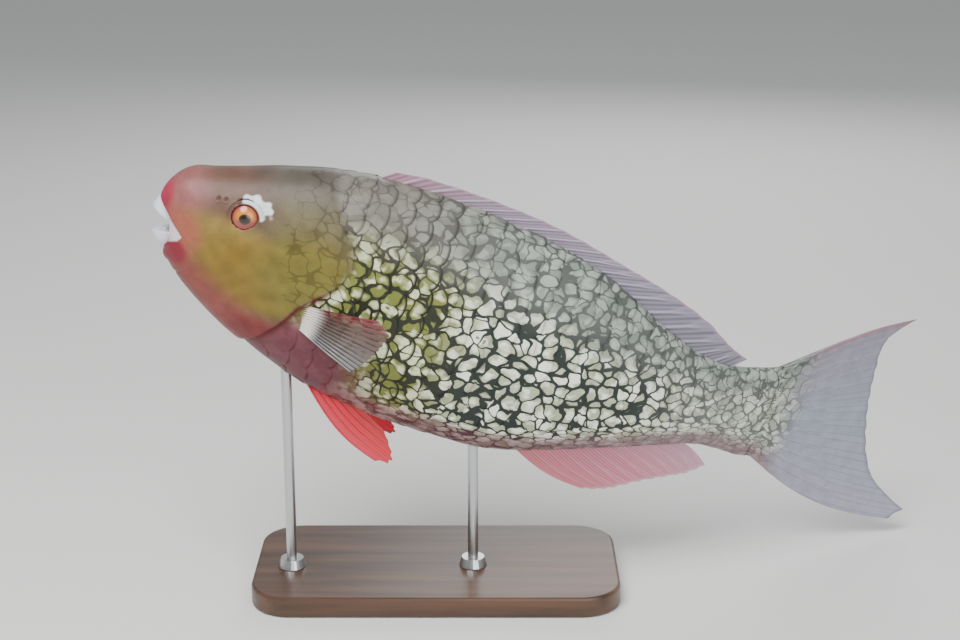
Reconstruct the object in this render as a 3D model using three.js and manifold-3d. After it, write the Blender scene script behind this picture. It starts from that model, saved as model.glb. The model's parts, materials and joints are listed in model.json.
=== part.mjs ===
// A life-size parrotfish on a plain display stand: nose up, tail swung to its right.
// Millimetres, +Z up. The fish faces -X and shows its left side to -Y.
// The origin is the centre of the stand's underside.
import * as THREE from "three";
import { mergeVertices } from "three/addons/utils/BufferGeometryUtils.js";
import Module from "manifold-3d";

const wasm = await Module();
wasm.setup();

// Driving sizes of the fish, in its own straight frame: x runs from the snout to the tail, z is up.
const JOINT_GAP = 0.3; // left between neighbouring pieces
const BODY_END = 384; // where the tail fin takes over from the fleshy tail
const TAIL_START = 258; // torso behind this is called the tail
const AROUND = 36; // corners of one body section
const ALONG = 52; // sections from snout to tail fin
const SECTION_POWER = 2.15; // 2 is an ellipse, more is squarer

// Pose: nose up, the tail bent to the far side, its fin rolled and raised a little.
const NOSE_UP = THREE.MathUtils.degToRad(20.5);
const BEND = THREE.MathUtils.degToRad(23);
const BEND_FROM = 150;
const BEND_TO = 380;
const FIN_ROLL = THREE.MathUtils.degToRad(16);
const FIN_ROLL_FROM = 350;
const FIN_ROLL_LENGTH = 135;
const FIN_RAISE = 0.13; // slope of the raised tail fin
const FIN_RAISE_FROM = 370;
const PIVOT_X = 165; // this point of the spine stands over the stand
const PIVOT_HEIGHT = 164;

// Stand.
const BASE_LENGTH = 210;
const BASE_DEPTH = 104;
const BASE_HEIGHT = 12;
const BASE_CORNER = 22;
const BASE_SHIFT_Y = 8; // the bent tail moves the weight to the far side
const ROD_RADIUS = 3;
const ROD_FEET = [98, 212]; // fish x that each rod reaches
const COLLAR_RADIUS = 8;
const COLLAR_HEIGHT = 5;

// Body stations from snout to tail fin: x, back height, belly height, half width.
const STATIONS = [
  [1.4, 12.5, 12.5, 0.0],
  [3.0, 20.0, 6.0, 8.5],
  [8.0, 28.5, -6.5, 14.0],
  [15.0, 34.0, -19.0, 18.5],
  [25.0, 37.2, -28.0, 22.0],
  [40.0, 42.7, -37.5, 25.5],
  [60.0, 50.5, -47.5, 29.0],
  [85.0, 58.5, -56.0, 32.0],
  [112.0, 63.8, -63.5, 33.5],
  [145.0, 65.8, -67.0, 33.0],
  [185.0, 65.0, -67.0, 30.0],
  [220.0, 61.0, -64.5, 25.5],
  [255.0, 51.5, -54.5, 20.5],
  [290.0, 36.0, -43.5, 15.0],
  [320.0, 25.5, -35.0, 11.0],
  [345.0, 23.0, -30.0, 8.5],
  [BODY_END, 30.5, -33.5, 4.2],
];

// Mouth, seen from the side: lip lines, and the ellipsoids that carry the beak plates.
const MOUTH_CORNER = [21, -1];
const UPPER_LIP_FRONT = [2, 12.5];
const LOWER_LIP_FRONT = [12.3, -16];
// The pale skin inside the mouth's corner ends along these corners.
const MOUTH_SKIN = [[10.5, 4.5], [11.5, 0.5], [14, -6.6], [12.6, -11]];
const UPPER_BEAK = { centre: [16, 0, 4], radii: [17, 11.5, 16], root: 5 };
const LOWER_BEAK = { centre: [21, 0, -5], radii: [18.5, 11.5, 13], root: 6 };
const UPPER_BITE = { height: 5.2, slope: -0.28 }; // biting edge at x = 0 and its slope
const LOWER_BITE = { height: -9.2, slope: 0.4 };
const MOUTH_HOLLOW = { centre: [17, 0, -1.5], radii: [13, 7.5, 5.5] };
const LIP_RADIUS = 2.6;
const CHIN_LIP_RADIUS = 5.6;

// Eye and nostrils.
const EYE = { x: 50, z: 22, radius: 9.2, sunk: 6.2, rim: 8.4 };
const NOSTRILS = [
  [33, 26, 0.9],
  [37, 27, 0.8],
];

// Gill cover, seen from the side: its free edge from the throat up, and its front edge.
const GILL_EDGE = [
  [58, -62], [66, -50], [77, -40], [86, -27], [92, -14], [101, -4], [109, 6], [113, 17], [110, 28], [100, 36],
];
const GILL_FRONT = [
  [96, 38], [76, 31], [66, 14], [63, -4], [62, -22], [57, -40], [50, -62],
];
const NAPE = [[90, 50], [84, 75]]; // the head ends along this line above the gill
const GILL_PLATE = 4; // thickness of the cover
const GILL_STEP = 1.5; // how far the cover stands proud of the flank behind it
const GILL_STEP_FADE = 9;

const fishColours = {
  head: 0xb07468, gill: 0x8f8248, torso: 0x9aa08a, tail: 0xa09ca0, beak: 0xe4e8f0, eye: 0xd98a1e,
  dorsal: 0xb497a8, anal: 0xcf6f85, caudal: 0xa9a6b4, pelvic: 0xd8333c, pectoral: 0xa8868a,
};
const material = (color, roughness = 0.5, metalness = 0) =>
  new THREE.MeshStandardMaterial({ color, roughness, metalness });

// A smooth value through a column of the stations, at a place counted in stations.
function stationValue(column, place) {
  const last = STATIONS.length - 1;
  const i = Math.min(Math.floor(place), last - 1);
  const f = place - i;
  const at = (k) => STATIONS[Math.min(Math.max(k, 0), last)][column];
  const [a, b, c, d] = [at(i - 1), at(i), at(i + 1), at(i + 2)];
  const bend = 2 * a - 5 * b + 4 * c - d;
  const twist = 3 * (b - c) + d - a;
  return b + 0.5 * f * (c - a + f * (bend + f * twist));
}

// The place, in stations, of an x along the body.
function placeOf(x) {
  let low = 0;
  let high = STATIONS.length - 1;
  for (let k = 0; k < 40; k++) {
    const middle = (low + high) / 2;
    if (stationValue(0, middle) < x) low = middle;
    else high = middle;
  }
  return (low + high) / 2;
}

const backAt = (x) => stationValue(1, placeOf(x));
const bellyAt = (x) => stationValue(2, placeOf(x));
const widthAt = (x) => stationValue(3, placeOf(x));

const powerOf = (v, p) => Math.sign(v) * Math.abs(v) ** p;

// A point of the body's surface: place along it, angle round it, and how far it is grown.
function bodyPoint(place, angle, grow) {
  const top = stationValue(1, place) + grow;
  const bottom = stationValue(2, place) - grow;
  const middle = (top + bottom) / 2;
  const half = (top - bottom) / 2;
  const width = stationValue(3, place) + grow;
  return new THREE.Vector3(
    stationValue(0, place),
    width * powerOf(Math.cos(angle), 2 / SECTION_POWER),
    middle + half * powerOf(Math.sin(angle), 2 / SECTION_POWER),
  );
}

// Half width of the body at a height, at a given x.
function flankAt(x, z) {
  const top = backAt(x);
  const bottom = bellyAt(x);
  const level = (z - (top + bottom) / 2) / ((top - bottom) / 2);
  return widthAt(x) * Math.max(0, 1 - Math.abs(level) ** SECTION_POWER) ** (1 / SECTION_POWER);
}

// A closed tube of rings with a fan at each end.
function tubeOfRings(rings, firstPole, lastPole) {
  const round = rings[0].length;
  const points = [...rings.flat(), firstPole, lastPole];
  const first = points.length - 2;
  const last = points.length - 1;
  const index = [];
  for (let i = 0; i + 1 < rings.length; i++) {
    for (let j = 0; j < round; j++) {
      const a = i * round + j;
      const b = i * round + ((j + 1) % round);
      index.push(a, a + round, b, b, a + round, b + round);
    }
  }
  const end = (rings.length - 1) * round;
  for (let j = 0; j < round; j++) {
    const next = (j + 1) % round;
    index.push(first, j, next);
    index.push(last, end + next, end + j);
  }
  const geometry = new THREE.BufferGeometry().setFromPoints(points);
  geometry.setIndex(index);
  return geometry;
}

// The whole body as one closed surface. shape moves each point, and grow swells it.
function bodyGeometry(grow = 0, shape = (p) => p) {
  const last = STATIONS.length - 1;
  const rings = [];
  for (let i = 1; i <= ALONG; i++) {
    const share = i / ALONG;
    const place = last * share ** 1.15;
    const ring = [];
    for (let j = 0; j < AROUND; j++) {
      ring.push(shape(bodyPoint(place, (2 * Math.PI * j) / AROUND, grow)));
    }
    rings.push(ring);
  }
  const snout = bodyPoint(0, 0, 0).add(new THREE.Vector3(-grow, 0, 0));
  const centre = rings.at(-1).reduce((s, p) => s.add(p), new THREE.Vector3()).divideScalar(AROUND);
  return tubeOfRings(rings, shape(snout), centre);
}

// A closed three.js geometry as a manifold solid, turned outwards if it is inside out.
function solid(geometry) {
  const plain = geometry.clone();
  for (const name of Object.keys(plain.attributes)) {
    if (name !== "position") plain.deleteAttribute(name);
  }
  const merged = mergeVertices(plain, 1e-4);
  const triVerts = new Uint32Array(merged.index.array);
  const vertProperties = merged.attributes.position.array;
  const mesh = () => new wasm.Mesh({ numProp: 3, vertProperties, triVerts });
  const made = new wasm.Manifold(mesh());
  if (made.volume() > 0) return made;
  for (let i = 0; i < triVerts.length; i += 3) {
    [triVerts[i + 1], triVerts[i + 2]] = [triVerts[i + 2], triVerts[i + 1]];
  }
  return new wasm.Manifold(mesh());
}

const largest = (made) => made.decompose().reduce((a, b) => (b.volume() > a.volume() ? b : a));

// The back from a manifold solid to a geometry.
function geometryOf(made) {
  const mesh = made.getMesh();
  const points = new Float32Array(mesh.numVert * 3);
  for (let i = 0; i < mesh.numVert; i++) {
    points.set(mesh.vertProperties.subarray(i * mesh.numProp, i * mesh.numProp + 3), i * 3);
  }
  const geometry = new THREE.BufferGeometry();
  geometry.setAttribute("position", new THREE.BufferAttribute(points, 3));
  geometry.setIndex(new THREE.BufferAttribute(new Uint32Array(mesh.triVerts), 1));
  return geometry;
}

// A side-view outline of [x, z] corners pushed through from y = from to y = to.
function prism(outline, from, to) {
  const shape = new THREE.Shape(outline.map(([x, z]) => new THREE.Vector2(x, z)));
  const geometry = new THREE.ExtrudeGeometry(shape, { depth: to - from, bevelEnabled: false });
  geometry.rotateX(Math.PI / 2);
  geometry.translate(0, to, 0);
  return solid(geometry);
}

function ellipsoid({ centre, radii }, grow = 0, round = 28) {
  const geometry = new THREE.SphereGeometry(1, round, round / 2);
  geometry.scale(...radii.map((r) => r + grow));
  geometry.translate(...centre);
  return solid(geometry);
}

const smooth = (t) => {
  const s = Math.min(Math.max(t, 0), 1);
  return s * s * (3 - 2 * s);
};

// Bends the spine to the far side and rolls and raises the tail fin.
const SPINE_STEP = 2;
const spine = [[0, 0]];
const headingAt = (x) => BEND * smooth((x - BEND_FROM) / (BEND_TO - BEND_FROM));
for (let x = 0; x < 600; x += SPINE_STEP) {
  const [along, aside] = spine.at(-1);
  const heading = headingAt(x + SPINE_STEP / 2);
  spine.push([along + SPINE_STEP * Math.cos(heading), aside + SPINE_STEP * Math.sin(heading)]);
}
function spineAt(x) {
  if (x <= 0) return [x, 0];
  const i = Math.floor(x / SPINE_STEP);
  const f = x / SPINE_STEP - i;
  return spine[i].map((v, k) => v + (spine[i + 1][k] - v) * f);
}
function bent({ x, y, z }) {
  const raised = z + FIN_RAISE * Math.max(0, x - FIN_RAISE_FROM);
  const roll = FIN_ROLL * Math.max(0, (x - FIN_ROLL_FROM) / FIN_ROLL_LENGTH) ** 2;
  const side = y * Math.cos(roll) + raised * Math.sin(roll);
  const height = raised * Math.cos(roll) - y * Math.sin(roll);
  const [along, aside] = spineAt(x);
  const heading = headingAt(x);
  return new THREE.Vector3(along - side * Math.sin(heading), aside + side * Math.cos(heading), height);
}
const pivot = bent(new THREE.Vector3(PIVOT_X, 0, 0));
const stance = new THREE.Matrix4()
  .makeTranslation(0, 0, PIVOT_HEIGHT)
  .multiply(new THREE.Matrix4().makeRotationY(NOSE_UP))
  .multiply(new THREE.Matrix4().makeTranslation(-pivot.x, 0, 0));
const posed = (p) => bent(p).applyMatrix4(stance);

function poseGeometry(geometry) {
  const place = geometry.attributes.position;
  const p = new THREE.Vector3();
  for (let i = 0; i < place.count; i++) {
    p.fromBufferAttribute(place, i);
    place.setXYZ(i, ...posed(p).toArray());
  }
  return geometry;
}

const fish = new THREE.Group();
function addPosed(name, made, color, roughness) {
  const mesh = new THREE.Mesh(poseGeometry(geometryOf(largest(made))), material(color, roughness));
  mesh.name = name;
  fish.add(mesh);
}

// Regions of the side view.
const wide = (outline) => prism(outline, -80, 80);
const shifted = (outline, dx) => outline.map(([x, z]) => [x + dx, z]);
const headEdge = [...GILL_EDGE, ...NAPE];
const headRegion = wide([[-60, -62], ...headEdge, [84, 120], [-60, 120]]);
const bodyRegion = wide([
  ...shifted(headEdge, JOINT_GAP),
  [84 + JOINT_GAP, 120], [TAIL_START, 120], [TAIL_START, -120], [58 + JOINT_GAP, -120],
]);
const tailFrom = TAIL_START + JOINT_GAP;
const tailRegion = wide([[tailFrom, 120], [460, 120], [460, -120], [tailFrom, -120]]);

// How far behind the gill edge a point of the flank lies.
function behindGill(x, z) {
  const k = GILL_EDGE.findIndex((corner, i) => i > 0 && z <= corner[1]);
  if (k < 1) return 60;
  const [a, b] = [GILL_EDGE[k - 1], GILL_EDGE[k]];
  const f = (z - a[1]) / (b[1] - a[1]);
  return x - (a[0] + (b[0] - a[0]) * f);
}
function sunkBehindGill(p) {
  const behind = Math.max(0, behindGill(p.x, p.z));
  const depth = p.z < -56 ? 0 : GILL_STEP * Math.exp(-behind / GILL_STEP_FADE);
  const share = Math.max(0, Math.abs(p.y) - depth) / Math.max(Math.abs(p.y), 1e-6);
  return new THREE.Vector3(p.x, p.y * share, p.z);
}

const body = solid(bodyGeometry());
const sunkBody = solid(bodyGeometry(0, sunkBehindGill));
const grownBody = solid(bodyGeometry(JOINT_GAP));
const innerBody = solid(bodyGeometry(-GILL_PLATE));
const innermostBody = solid(bodyGeometry(-GILL_PLATE - JOINT_GAP));

// Mouth, lips and beak.
const lineHeight = (a, b, x) => a[1] + ((b[1] - a[1]) * (x - a[0])) / (b[0] - a[0]);
const upperLip = (x) => lineHeight(UPPER_LIP_FRONT, MOUTH_CORNER, x);
function tubeAlong(points, radius) {
  const path = new THREE.CatmullRomCurve3(points);
  const rings = [];
  const steps = 16;
  const sides = 10;
  for (let i = 0; i <= steps; i++) {
    const centre = path.getPointAt(i / steps);
    const ahead = path.getTangentAt(i / steps);
    const out = new THREE.Vector3(0, 0, 1).cross(ahead).normalize();
    const up = ahead.clone().cross(out);
    const swell = radius * Math.sqrt(Math.max(0.06, Math.sin((Math.PI * (i + 0.5)) / (steps + 1))));
    rings.push(
      Array.from({ length: sides }, (_, j) => {
        const a = (2 * Math.PI * j) / sides;
        const sideways = centre.clone().addScaledVector(out, swell * Math.cos(a));
        return sideways.addScaledVector(up, swell * Math.sin(a));
      }),
    );
  }
  return solid(tubeOfRings(rings, path.getPointAt(0), path.getPointAt(1)));
}
const jawTurns = Array.from({ length: 11 }, (_, i) => -Math.PI / 2 + (Math.PI * i) / 10);
const upperRoll = tubeAlong(
  jawTurns.map((a) => {
    const x = MOUTH_CORNER[0] - 16.5 * Math.cos(a);
    return new THREE.Vector3(x, 14.5 * Math.sin(a), upperLip(x) + LIP_RADIUS - 0.5);
  }),
  LIP_RADIUS,
);
const lowerRoll = tubeAlong(
  jawTurns.map((a) => {
    const reach = Math.cos(a);
    return new THREE.Vector3(24 - 6.5 * reach, 14.5 * Math.sin(a), -4.5 - 11 * reach);
  }),
  CHIN_LIP_RADIUS,
);
const gape = wide([
  [-14, upperLip(-14)],
  [MOUTH_SKIN[0][0], upperLip(MOUTH_SKIN[0][0])],
  ...MOUTH_SKIN,
  LOWER_LIP_FRONT,
  [9, -22],
  [-14, -22],
]);
const hollow = ellipsoid(MOUTH_HOLLOW);
function beak(which, bite, keepAbove, grow) {
  const reach = 40;
  const edge = (x) => bite.height + bite.slope * x + (keepAbove ? -grow : grow);
  const away = keepAbove ? 60 : -60;
  const kept = wide([[-20, edge(-20)], [reach, edge(reach)], [reach, away], [-20, away]]);
  const backX = 20 + grow;
  const front = wide([[-20, -60], [backX, -60], [backX, 60], [-20, 60]]);
  const outer = ellipsoid(which, grow).intersect(kept).intersect(front);
  const lift = which.root + grow;
  const rooted = keepAbove
    ? wide([[-20, upperLip(-20) + lift], [reach, upperLip(reach) + lift], [reach, -60], [-20, -60]])
    : wide([[-20, -60], [LOWER_LIP_FRONT[0] + lift, -60], [16 + lift, -7], [24 + lift, 6], [-20, 6]]);
  return outer.intersect(rooted);
}
const upperBeak = beak(UPPER_BEAK, UPPER_BITE, true, 0).subtract(hollow);
const lowerBeak = beak(LOWER_BEAK, LOWER_BITE, false, 0).subtract(hollow);
const lowerSeat = beak(LOWER_BEAK, LOWER_BITE, false, JOINT_GAP);
const beakSeats = beak(UPPER_BEAK, UPPER_BITE, true, JOINT_GAP).add(lowerSeat);

// Eyes sit in round sockets with a low rim.
const hands = { left: -1, right: 1 };
const eyeAt = (side) => [EYE.x, side * (flankAt(EYE.x, EYE.z) - EYE.sunk), EYE.z];
const eyeBall = (side, grow = 0) =>
  ellipsoid({ centre: eyeAt(side), radii: [EYE.radius, EYE.radius, EYE.radius] }, grow, 20);
function eyeRim(side) {
  const ring = new THREE.TorusGeometry(EYE.rim, 1.5, 8, 24);
  ring.rotateX(Math.PI / 2);
  ring.rotateZ(side * 0.12);
  ring.translate(EYE.x, side * (flankAt(EYE.x, EYE.z) - 0.6), EYE.z);
  return solid(ring);
}

// Gill covers: plates let into the sides of the head.
const COVER_CENTRE = [85, -8];
function coverOutline(grow) {
  const corners = [...GILL_EDGE.slice(1).map(([x, z]) => [x + 6, z]), ...GILL_FRONT];
  return corners.map(([x, z]) => {
    const away = [x - COVER_CENTRE[0], z - COVER_CENTRE[1]];
    const share = (1.5 * grow) / Math.hypot(...away);
    return [x + away[0] * share, z + away[1] * share];
  });
}
function gillCover(side, grow) {
  const plate = grow ? body.add(grownBody).subtract(innermostBody) : body.subtract(innerBody);
  const [from, to] = side < 0 ? [-80, -4 + grow] : [4 - grow, 80];
  const cut = plate.intersect(prism(coverOutline(grow), from, to));
  return grow ? cut : cut.intersect(headRegion);
}

let head = body.intersect(headRegion).add(upperRoll).add(lowerRoll);
for (const side of Object.values(hands)) head = head.add(eyeRim(side));
head = head.intersect(headRegion).subtract(gape).subtract(hollow).subtract(beakSeats);
for (const side of Object.values(hands)) {
  head = head.subtract(eyeBall(side, JOINT_GAP)).subtract(gillCover(side, JOINT_GAP));
  for (const [x, z, radius] of NOSTRILS) {
    const pit = { centre: [x, side * flankAt(x, z), z], radii: [radius, 2, radius] };
    head = head.subtract(ellipsoid(pit, 0, 10));
  }
}
addPosed("head", head, fishColours.head);
for (const [word, side] of Object.entries(hands)) {
  addPosed(`gill_cover_${word}`, gillCover(side, 0), fishColours.gill);
  addPosed(`eye_${word}`, eyeBall(side), fishColours.eye, 0.15);
}
addPosed("upper_beak", upperBeak, fishColours.beak, 0.3);
addPosed("lower_beak", lowerBeak, fishColours.beak, 0.3);
addPosed("torso", sunkBody.intersect(bodyRegion), fishColours.torso);
addPosed("tail", body.intersect(tailRegion), fishColours.tail);

// A fin: a thin blade whose rays stand as ridges. Each ray has a root and a tip in the
// blade's own plane; its bow lifts its middle. The web between two rays is thinner.
function finGeometry(rays, { rows = 5, rootHalf, tipHalf, webShare, notch }, place) {
  const columns = [];
  rays.forEach((ray, i) => {
    columns.push({ ...ray, web: false });
    const next = rays[i + 1];
    if (!next) return;
    const mix = (a, b) => a.map((v, k) => (v + b[k]) / 2);
    const root = mix(ray.root, next.root);
    const tip = mix(ray.tip, next.tip);
    const bow = ((ray.bow ?? 0) + (next.bow ?? 0)) / 2;
    columns.push({ root, tip: tip.map((v, k) => v + (root[k] - v) * notch), bow, web: true });
  });
  const faces = [1, -1].map((face) =>
    columns.map(({ root, tip, web, bow = 0 }) =>
      Array.from({ length: rows + 1 }, (_, j) => {
        const t = j / rows;
        const along = root.map((v, k) => v + (tip[k] - v) * t);
        const half = (rootHalf + (tipHalf - rootHalf) * Math.min(1, t * 1.25)) * (web ? webShare : 1);
        return place(along[0], along[1] + bow * Math.sin(Math.PI * t), face * half, t);
      }),
    ),
  );
  const high = rows + 1;
  const count = columns.length * high;
  const index = [];
  const quad = (a, b, c, d) => index.push(a, b, c, a, c, d);
  for (let i = 0; i + 1 < columns.length; i++) {
    for (let j = 0; j < rows; j++) {
      const a = i * high + j;
      quad(a, a + high, a + high + 1, a + 1);
      const b = count + a;
      index.push(b, b + high + 1, b + high, b, b + 1, b + high + 1);
    }
  }
  const rim = [];
  for (let i = 0; i < columns.length; i++) rim.push(i * high);
  for (let j = 1; j < high; j++) rim.push((columns.length - 1) * high + j);
  for (let i = columns.length - 2; i >= 0; i--) rim.push(i * high + rows);
  for (let j = rows - 1; j > 0; j--) rim.push(j);
  rim.forEach((a, k) => {
    const b = rim[(k + 1) % rim.length];
    quad(b, a, count + a, count + b);
  });
  const geometry = new THREE.BufferGeometry().setFromPoints(faces.flat(2));
  geometry.setIndex(index);
  return geometry;
}
const upright = (x, z, half) => new THREE.Vector3(x, half, z);
// The height of a margin at x, from its corners.
function marginHeight(margin, x) {
  const k = Math.max(1, margin.findIndex(([corner]) => x <= corner));
  const [[x0, h0], [x1, h1]] = [margin[k - 1], margin[k]];
  return h0 + ((h1 - h0) * (x - x0)) / (x1 - x0);
}
const between = (a, b, f) => a + (b - a) * f;

// Back fin, folded low: nine spines and ten soft rays leaning far back. Its margin's height above
// the back changes along the body.
const DORSAL = { from: 104, to: 338, rays: 19, reach: 33, sunk: 5 };
const DORSAL_MARGIN = [
  [104, 2], [129, 5.5], [185, 6.8], [235, 8], [258, 10], [278, 15], [301, 18.5], [322, 17], [352, 4],
];
const dorsalRays = Array.from({ length: DORSAL.rays }, (_, i) => {
  const f = i / (DORSAL.rays - 1);
  const x = between(DORSAL.from, DORSAL.to, f);
  const reach = DORSAL.reach * (0.4 + 0.6 * smooth(f / 0.22)) * (1 - 0.6 * smooth((f - 0.82) / 0.18));
  const tipX = x + reach;
  const tip = [tipX, backAt(tipX) + marginHeight(DORSAL_MARGIN, tipX)];
  return { root: [x, backAt(x) - DORSAL.sunk], tip };
});
const dorsal = solid(
  finGeometry(dorsalRays, { rows: 4, rootHalf: 1.5, tipHalf: 0.5, webShare: 0.6, notch: 0.015 }, upright),
);
addPosed("dorsal_fin", dorsal.subtract(grownBody), fishColours.dorsal);

// Anal fin: three spines and nine rays, all leaning far back. The rays' tips lie on its margin.
const ANAL = { from: 231.5, to: 326, rays: 12, sunk: 4, frontBow: -3.5, rearBow: 2.5 };
const ANAL_MARGIN = [
  [283, -72.7], [294, -70.5], [302.5, -67], [313.5, -61], [325, -56], [337, -51.5], [346, -48], [354, -41.5],
];
const analEdge = new THREE.CatmullRomCurve3(ANAL_MARGIN.map(([x, z]) => new THREE.Vector3(x, 0, z)));
const analRays = Array.from({ length: ANAL.rays }, (_, i) => {
  const f = i / (ANAL.rays - 1);
  const x = between(ANAL.from, ANAL.to, f);
  const tip = analEdge.getPoint(f);
  return {
    root: [x, bellyAt(x) + ANAL.sunk],
    tip: [tip.x, tip.z],
    bow: between(ANAL.frontBow, ANAL.rearBow, f),
  };
});
const anal = solid(
  finGeometry(analRays, { rows: 5, rootHalf: 1.5, tipHalf: 0.45, webShare: 0.6, notch: 0.02 }, upright),
);
addPosed("anal_fin", anal.subtract(grownBody), fishColours.anal);

// Tail fin: rays fan from the end of the body to a hollow margin with two drawn-out lobes.
const CAUDAL = { centre: -1.5, rootHalf: 31, upperBow: 6.5, lowerBow: 9.5 };
const CAUDAL_TIPS = [
  [470.5, 61.5], [459, 56], [449.5, 49.5], [446.5, 41], [447.5, 32], [448.5, 23], [450, 13.5], [452, 4],
  [455, -6], [458.5, -16.5], [463.5, -28], [471, -39.5], [483, -49], [498, -58.5], [489, -65],
];
const caudalRays = CAUDAL_TIPS.map((tip, i) => {
  const side = 1 - (2 * i) / (CAUDAL_TIPS.length - 1);
  const bow = side > 0 ? CAUDAL.upperBow : CAUDAL.lowerBow;
  return {
    root: [BODY_END + JOINT_GAP, CAUDAL.centre + CAUDAL.rootHalf * side],
    tip,
    bow: bow * side * Math.abs(side),
  };
});
const thickRooted = (x, z, half, t) => upright(x, z, half * (0.45 + 0.55 * Math.max(0, 1 - 3 * t)));
const caudalForm = { rows: 7, rootHalf: 3.2, tipHalf: 0.5, webShare: 0.72, notch: 0.01 };
const caudal = solid(finGeometry(caudalRays, caudalForm, thickRooted));
addPosed("caudal_fin", caudal.subtract(grownBody), fishColours.caudal);

// Belly fins: one spine and five rays each, held back along the belly and splayed outwards.
const PELVIC = {
  x: 111, z: -60, half: 9, splay: 32, step: 3.2, bow: -5,
  lengths: [57.5, 61, 59, 53, 45, 36], angles: [-30, -27.8, -27.2, -26.5, -25.5, -24],
};
function pelvicFin(side) {
  const rays = PELVIC.lengths.map((length, i) => {
    const angle = THREE.MathUtils.degToRad(PELVIC.angles[i]);
    const root = [PELVIC.x + PELVIC.step * i, 0.9 * i];
    const tip = [root[0] + length * Math.cos(angle), root[1] + length * Math.sin(angle)];
    return { root, tip, bow: PELVIC.bow * (1 - i / 5) };
  });
  const splay = THREE.MathUtils.degToRad(PELVIC.splay);
  const place = (x, down, half) =>
    new THREE.Vector3(
      x,
      side * (PELVIC.half - down * Math.sin(splay) + half * Math.cos(splay)),
      PELVIC.z + down * Math.cos(splay) + half * Math.sin(splay),
    );
  const form = { rows: 5, rootHalf: 1.6, tipHalf: 0.45, webShare: 0.6, notch: 0.02 };
  return solid(finGeometry(rays, form, place));
}

// Breast fins: rays fan from a short slanting root, swung out and back.
const PECTORAL = { x: 100, z: -18, rays: 13, swing: 40, lead: 17, trail: -10, long: 58, short: 37 };
function pectoralFin(side) {
  const rays = Array.from({ length: PECTORAL.rays }, (_, i) => {
    const f = i / (PECTORAL.rays - 1);
    const angle = THREE.MathUtils.degToRad(between(PECTORAL.lead, PECTORAL.trail, f));
    const length = between(PECTORAL.long, PECTORAL.short, f ** 1.2) * (0.8 + 0.2 * smooth(f / 0.15));
    const root = [-5 + 2 * f, 6.5 - 13 * f];
    const tip = [root[0] + 5 + length * Math.cos(angle), root[1] + length * Math.sin(angle)];
    return { root, tip };
  });
  const swing = THREE.MathUtils.degToRad(PECTORAL.swing);
  const start = flankAt(PECTORAL.x, PECTORAL.z);
  const place = (out, up, half, t) =>
    new THREE.Vector3(
      PECTORAL.x + out * Math.cos(swing) + half * Math.sin(swing),
      side * (start + out * Math.sin(swing) - half * Math.cos(swing) - 5 * t * t),
      PECTORAL.z + up,
    );
  const form = { rows: 5, rootHalf: 1.8, tipHalf: 0.4, webShare: 0.6, notch: 0.015 };
  return solid(finGeometry(rays, form, place));
}
for (const [word, side] of Object.entries(hands)) {
  addPosed(`pelvic_fin_${word}`, pelvicFin(side).subtract(grownBody), fishColours.pelvic);
  addPosed(`pectoral_fin_${word}`, pectoralFin(side).subtract(grownBody), fishColours.pectoral);
}

// The stand: a base plate with a chamfer, two rods and their collars.
function plate(length, depth, corner, height, chamfer) {
  const outline = new THREE.Shape();
  const [a, b] = [length / 2 - chamfer, depth / 2 - chamfer];
  outline.moveTo(-a + corner, -b);
  outline.lineTo(a - corner, -b);
  outline.absarc(a - corner, -b + corner, corner, -Math.PI / 2, 0);
  outline.absarc(a - corner, b - corner, corner, 0, Math.PI / 2);
  outline.absarc(-a + corner, b - corner, corner, Math.PI / 2, Math.PI);
  outline.absarc(-a + corner, -b + corner, corner, Math.PI, 1.5 * Math.PI);
  const flat = { depth: height - 2 * chamfer, bevelThickness: chamfer, bevelSize: chamfer, bevelSegments: 2 };
  const geometry = new THREE.ExtrudeGeometry(outline, { ...flat, curveSegments: 8 });
  geometry.translate(0, 0, chamfer);
  return geometry;
}
const wood = material(0x4a2f20, 0.45);
const steel = material(0xb8bcc0, 0.25, 1);
const stand = new THREE.Group();
function addStand(name, geometry, finish) {
  const mesh = new THREE.Mesh(geometry, finish);
  mesh.name = name;
  stand.add(mesh);
}
addStand("stand_base", plate(BASE_LENGTH, BASE_DEPTH, BASE_CORNER, BASE_HEIGHT, 1.5), wood);

const posedGrown = solid(poseGeometry(bodyGeometry(JOINT_GAP)));
ROD_FEET.forEach((x, i) => {
  const belly = posed(new THREE.Vector3(x, 0, bellyAt(x)));
  const low = BASE_HEIGHT + JOINT_GAP;
  const rod = new THREE.CylinderGeometry(ROD_RADIUS, ROD_RADIUS, belly.z + 12 - low, 20);
  rod.rotateX(Math.PI / 2);
  rod.translate(belly.x, belly.y, (belly.z + 12 + low) / 2);
  const collar = new THREE.CylinderGeometry(COLLAR_RADIUS - 1.5, COLLAR_RADIUS, COLLAR_HEIGHT, 28);
  collar.rotateX(Math.PI / 2);
  collar.translate(belly.x, belly.y, low + COLLAR_HEIGHT / 2);
  const made = largest(solid(rod).subtract(posedGrown)).add(solid(collar));
  addStand(`stand_rod_${i ? "rear" : "front"}`, geometryOf(made), steel);
});

const part = new THREE.Group();
fish.position.set(0, -BASE_SHIFT_Y, 0);
for (const rod of stand.children.slice(1)) rod.position.set(0, -BASE_SHIFT_Y, 0);
part.add(fish, stand);

export default part;
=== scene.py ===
# %% [markdown]
# A parrotfish, half a metre long, swims nose up above a plain stand. The solids give its size and
# place, and this scene dresses them: one living skin, scales laid over it, fins with rays, wet eyes
# and a hard beak. First the imported frame is loaded.

import json
import math

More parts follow.
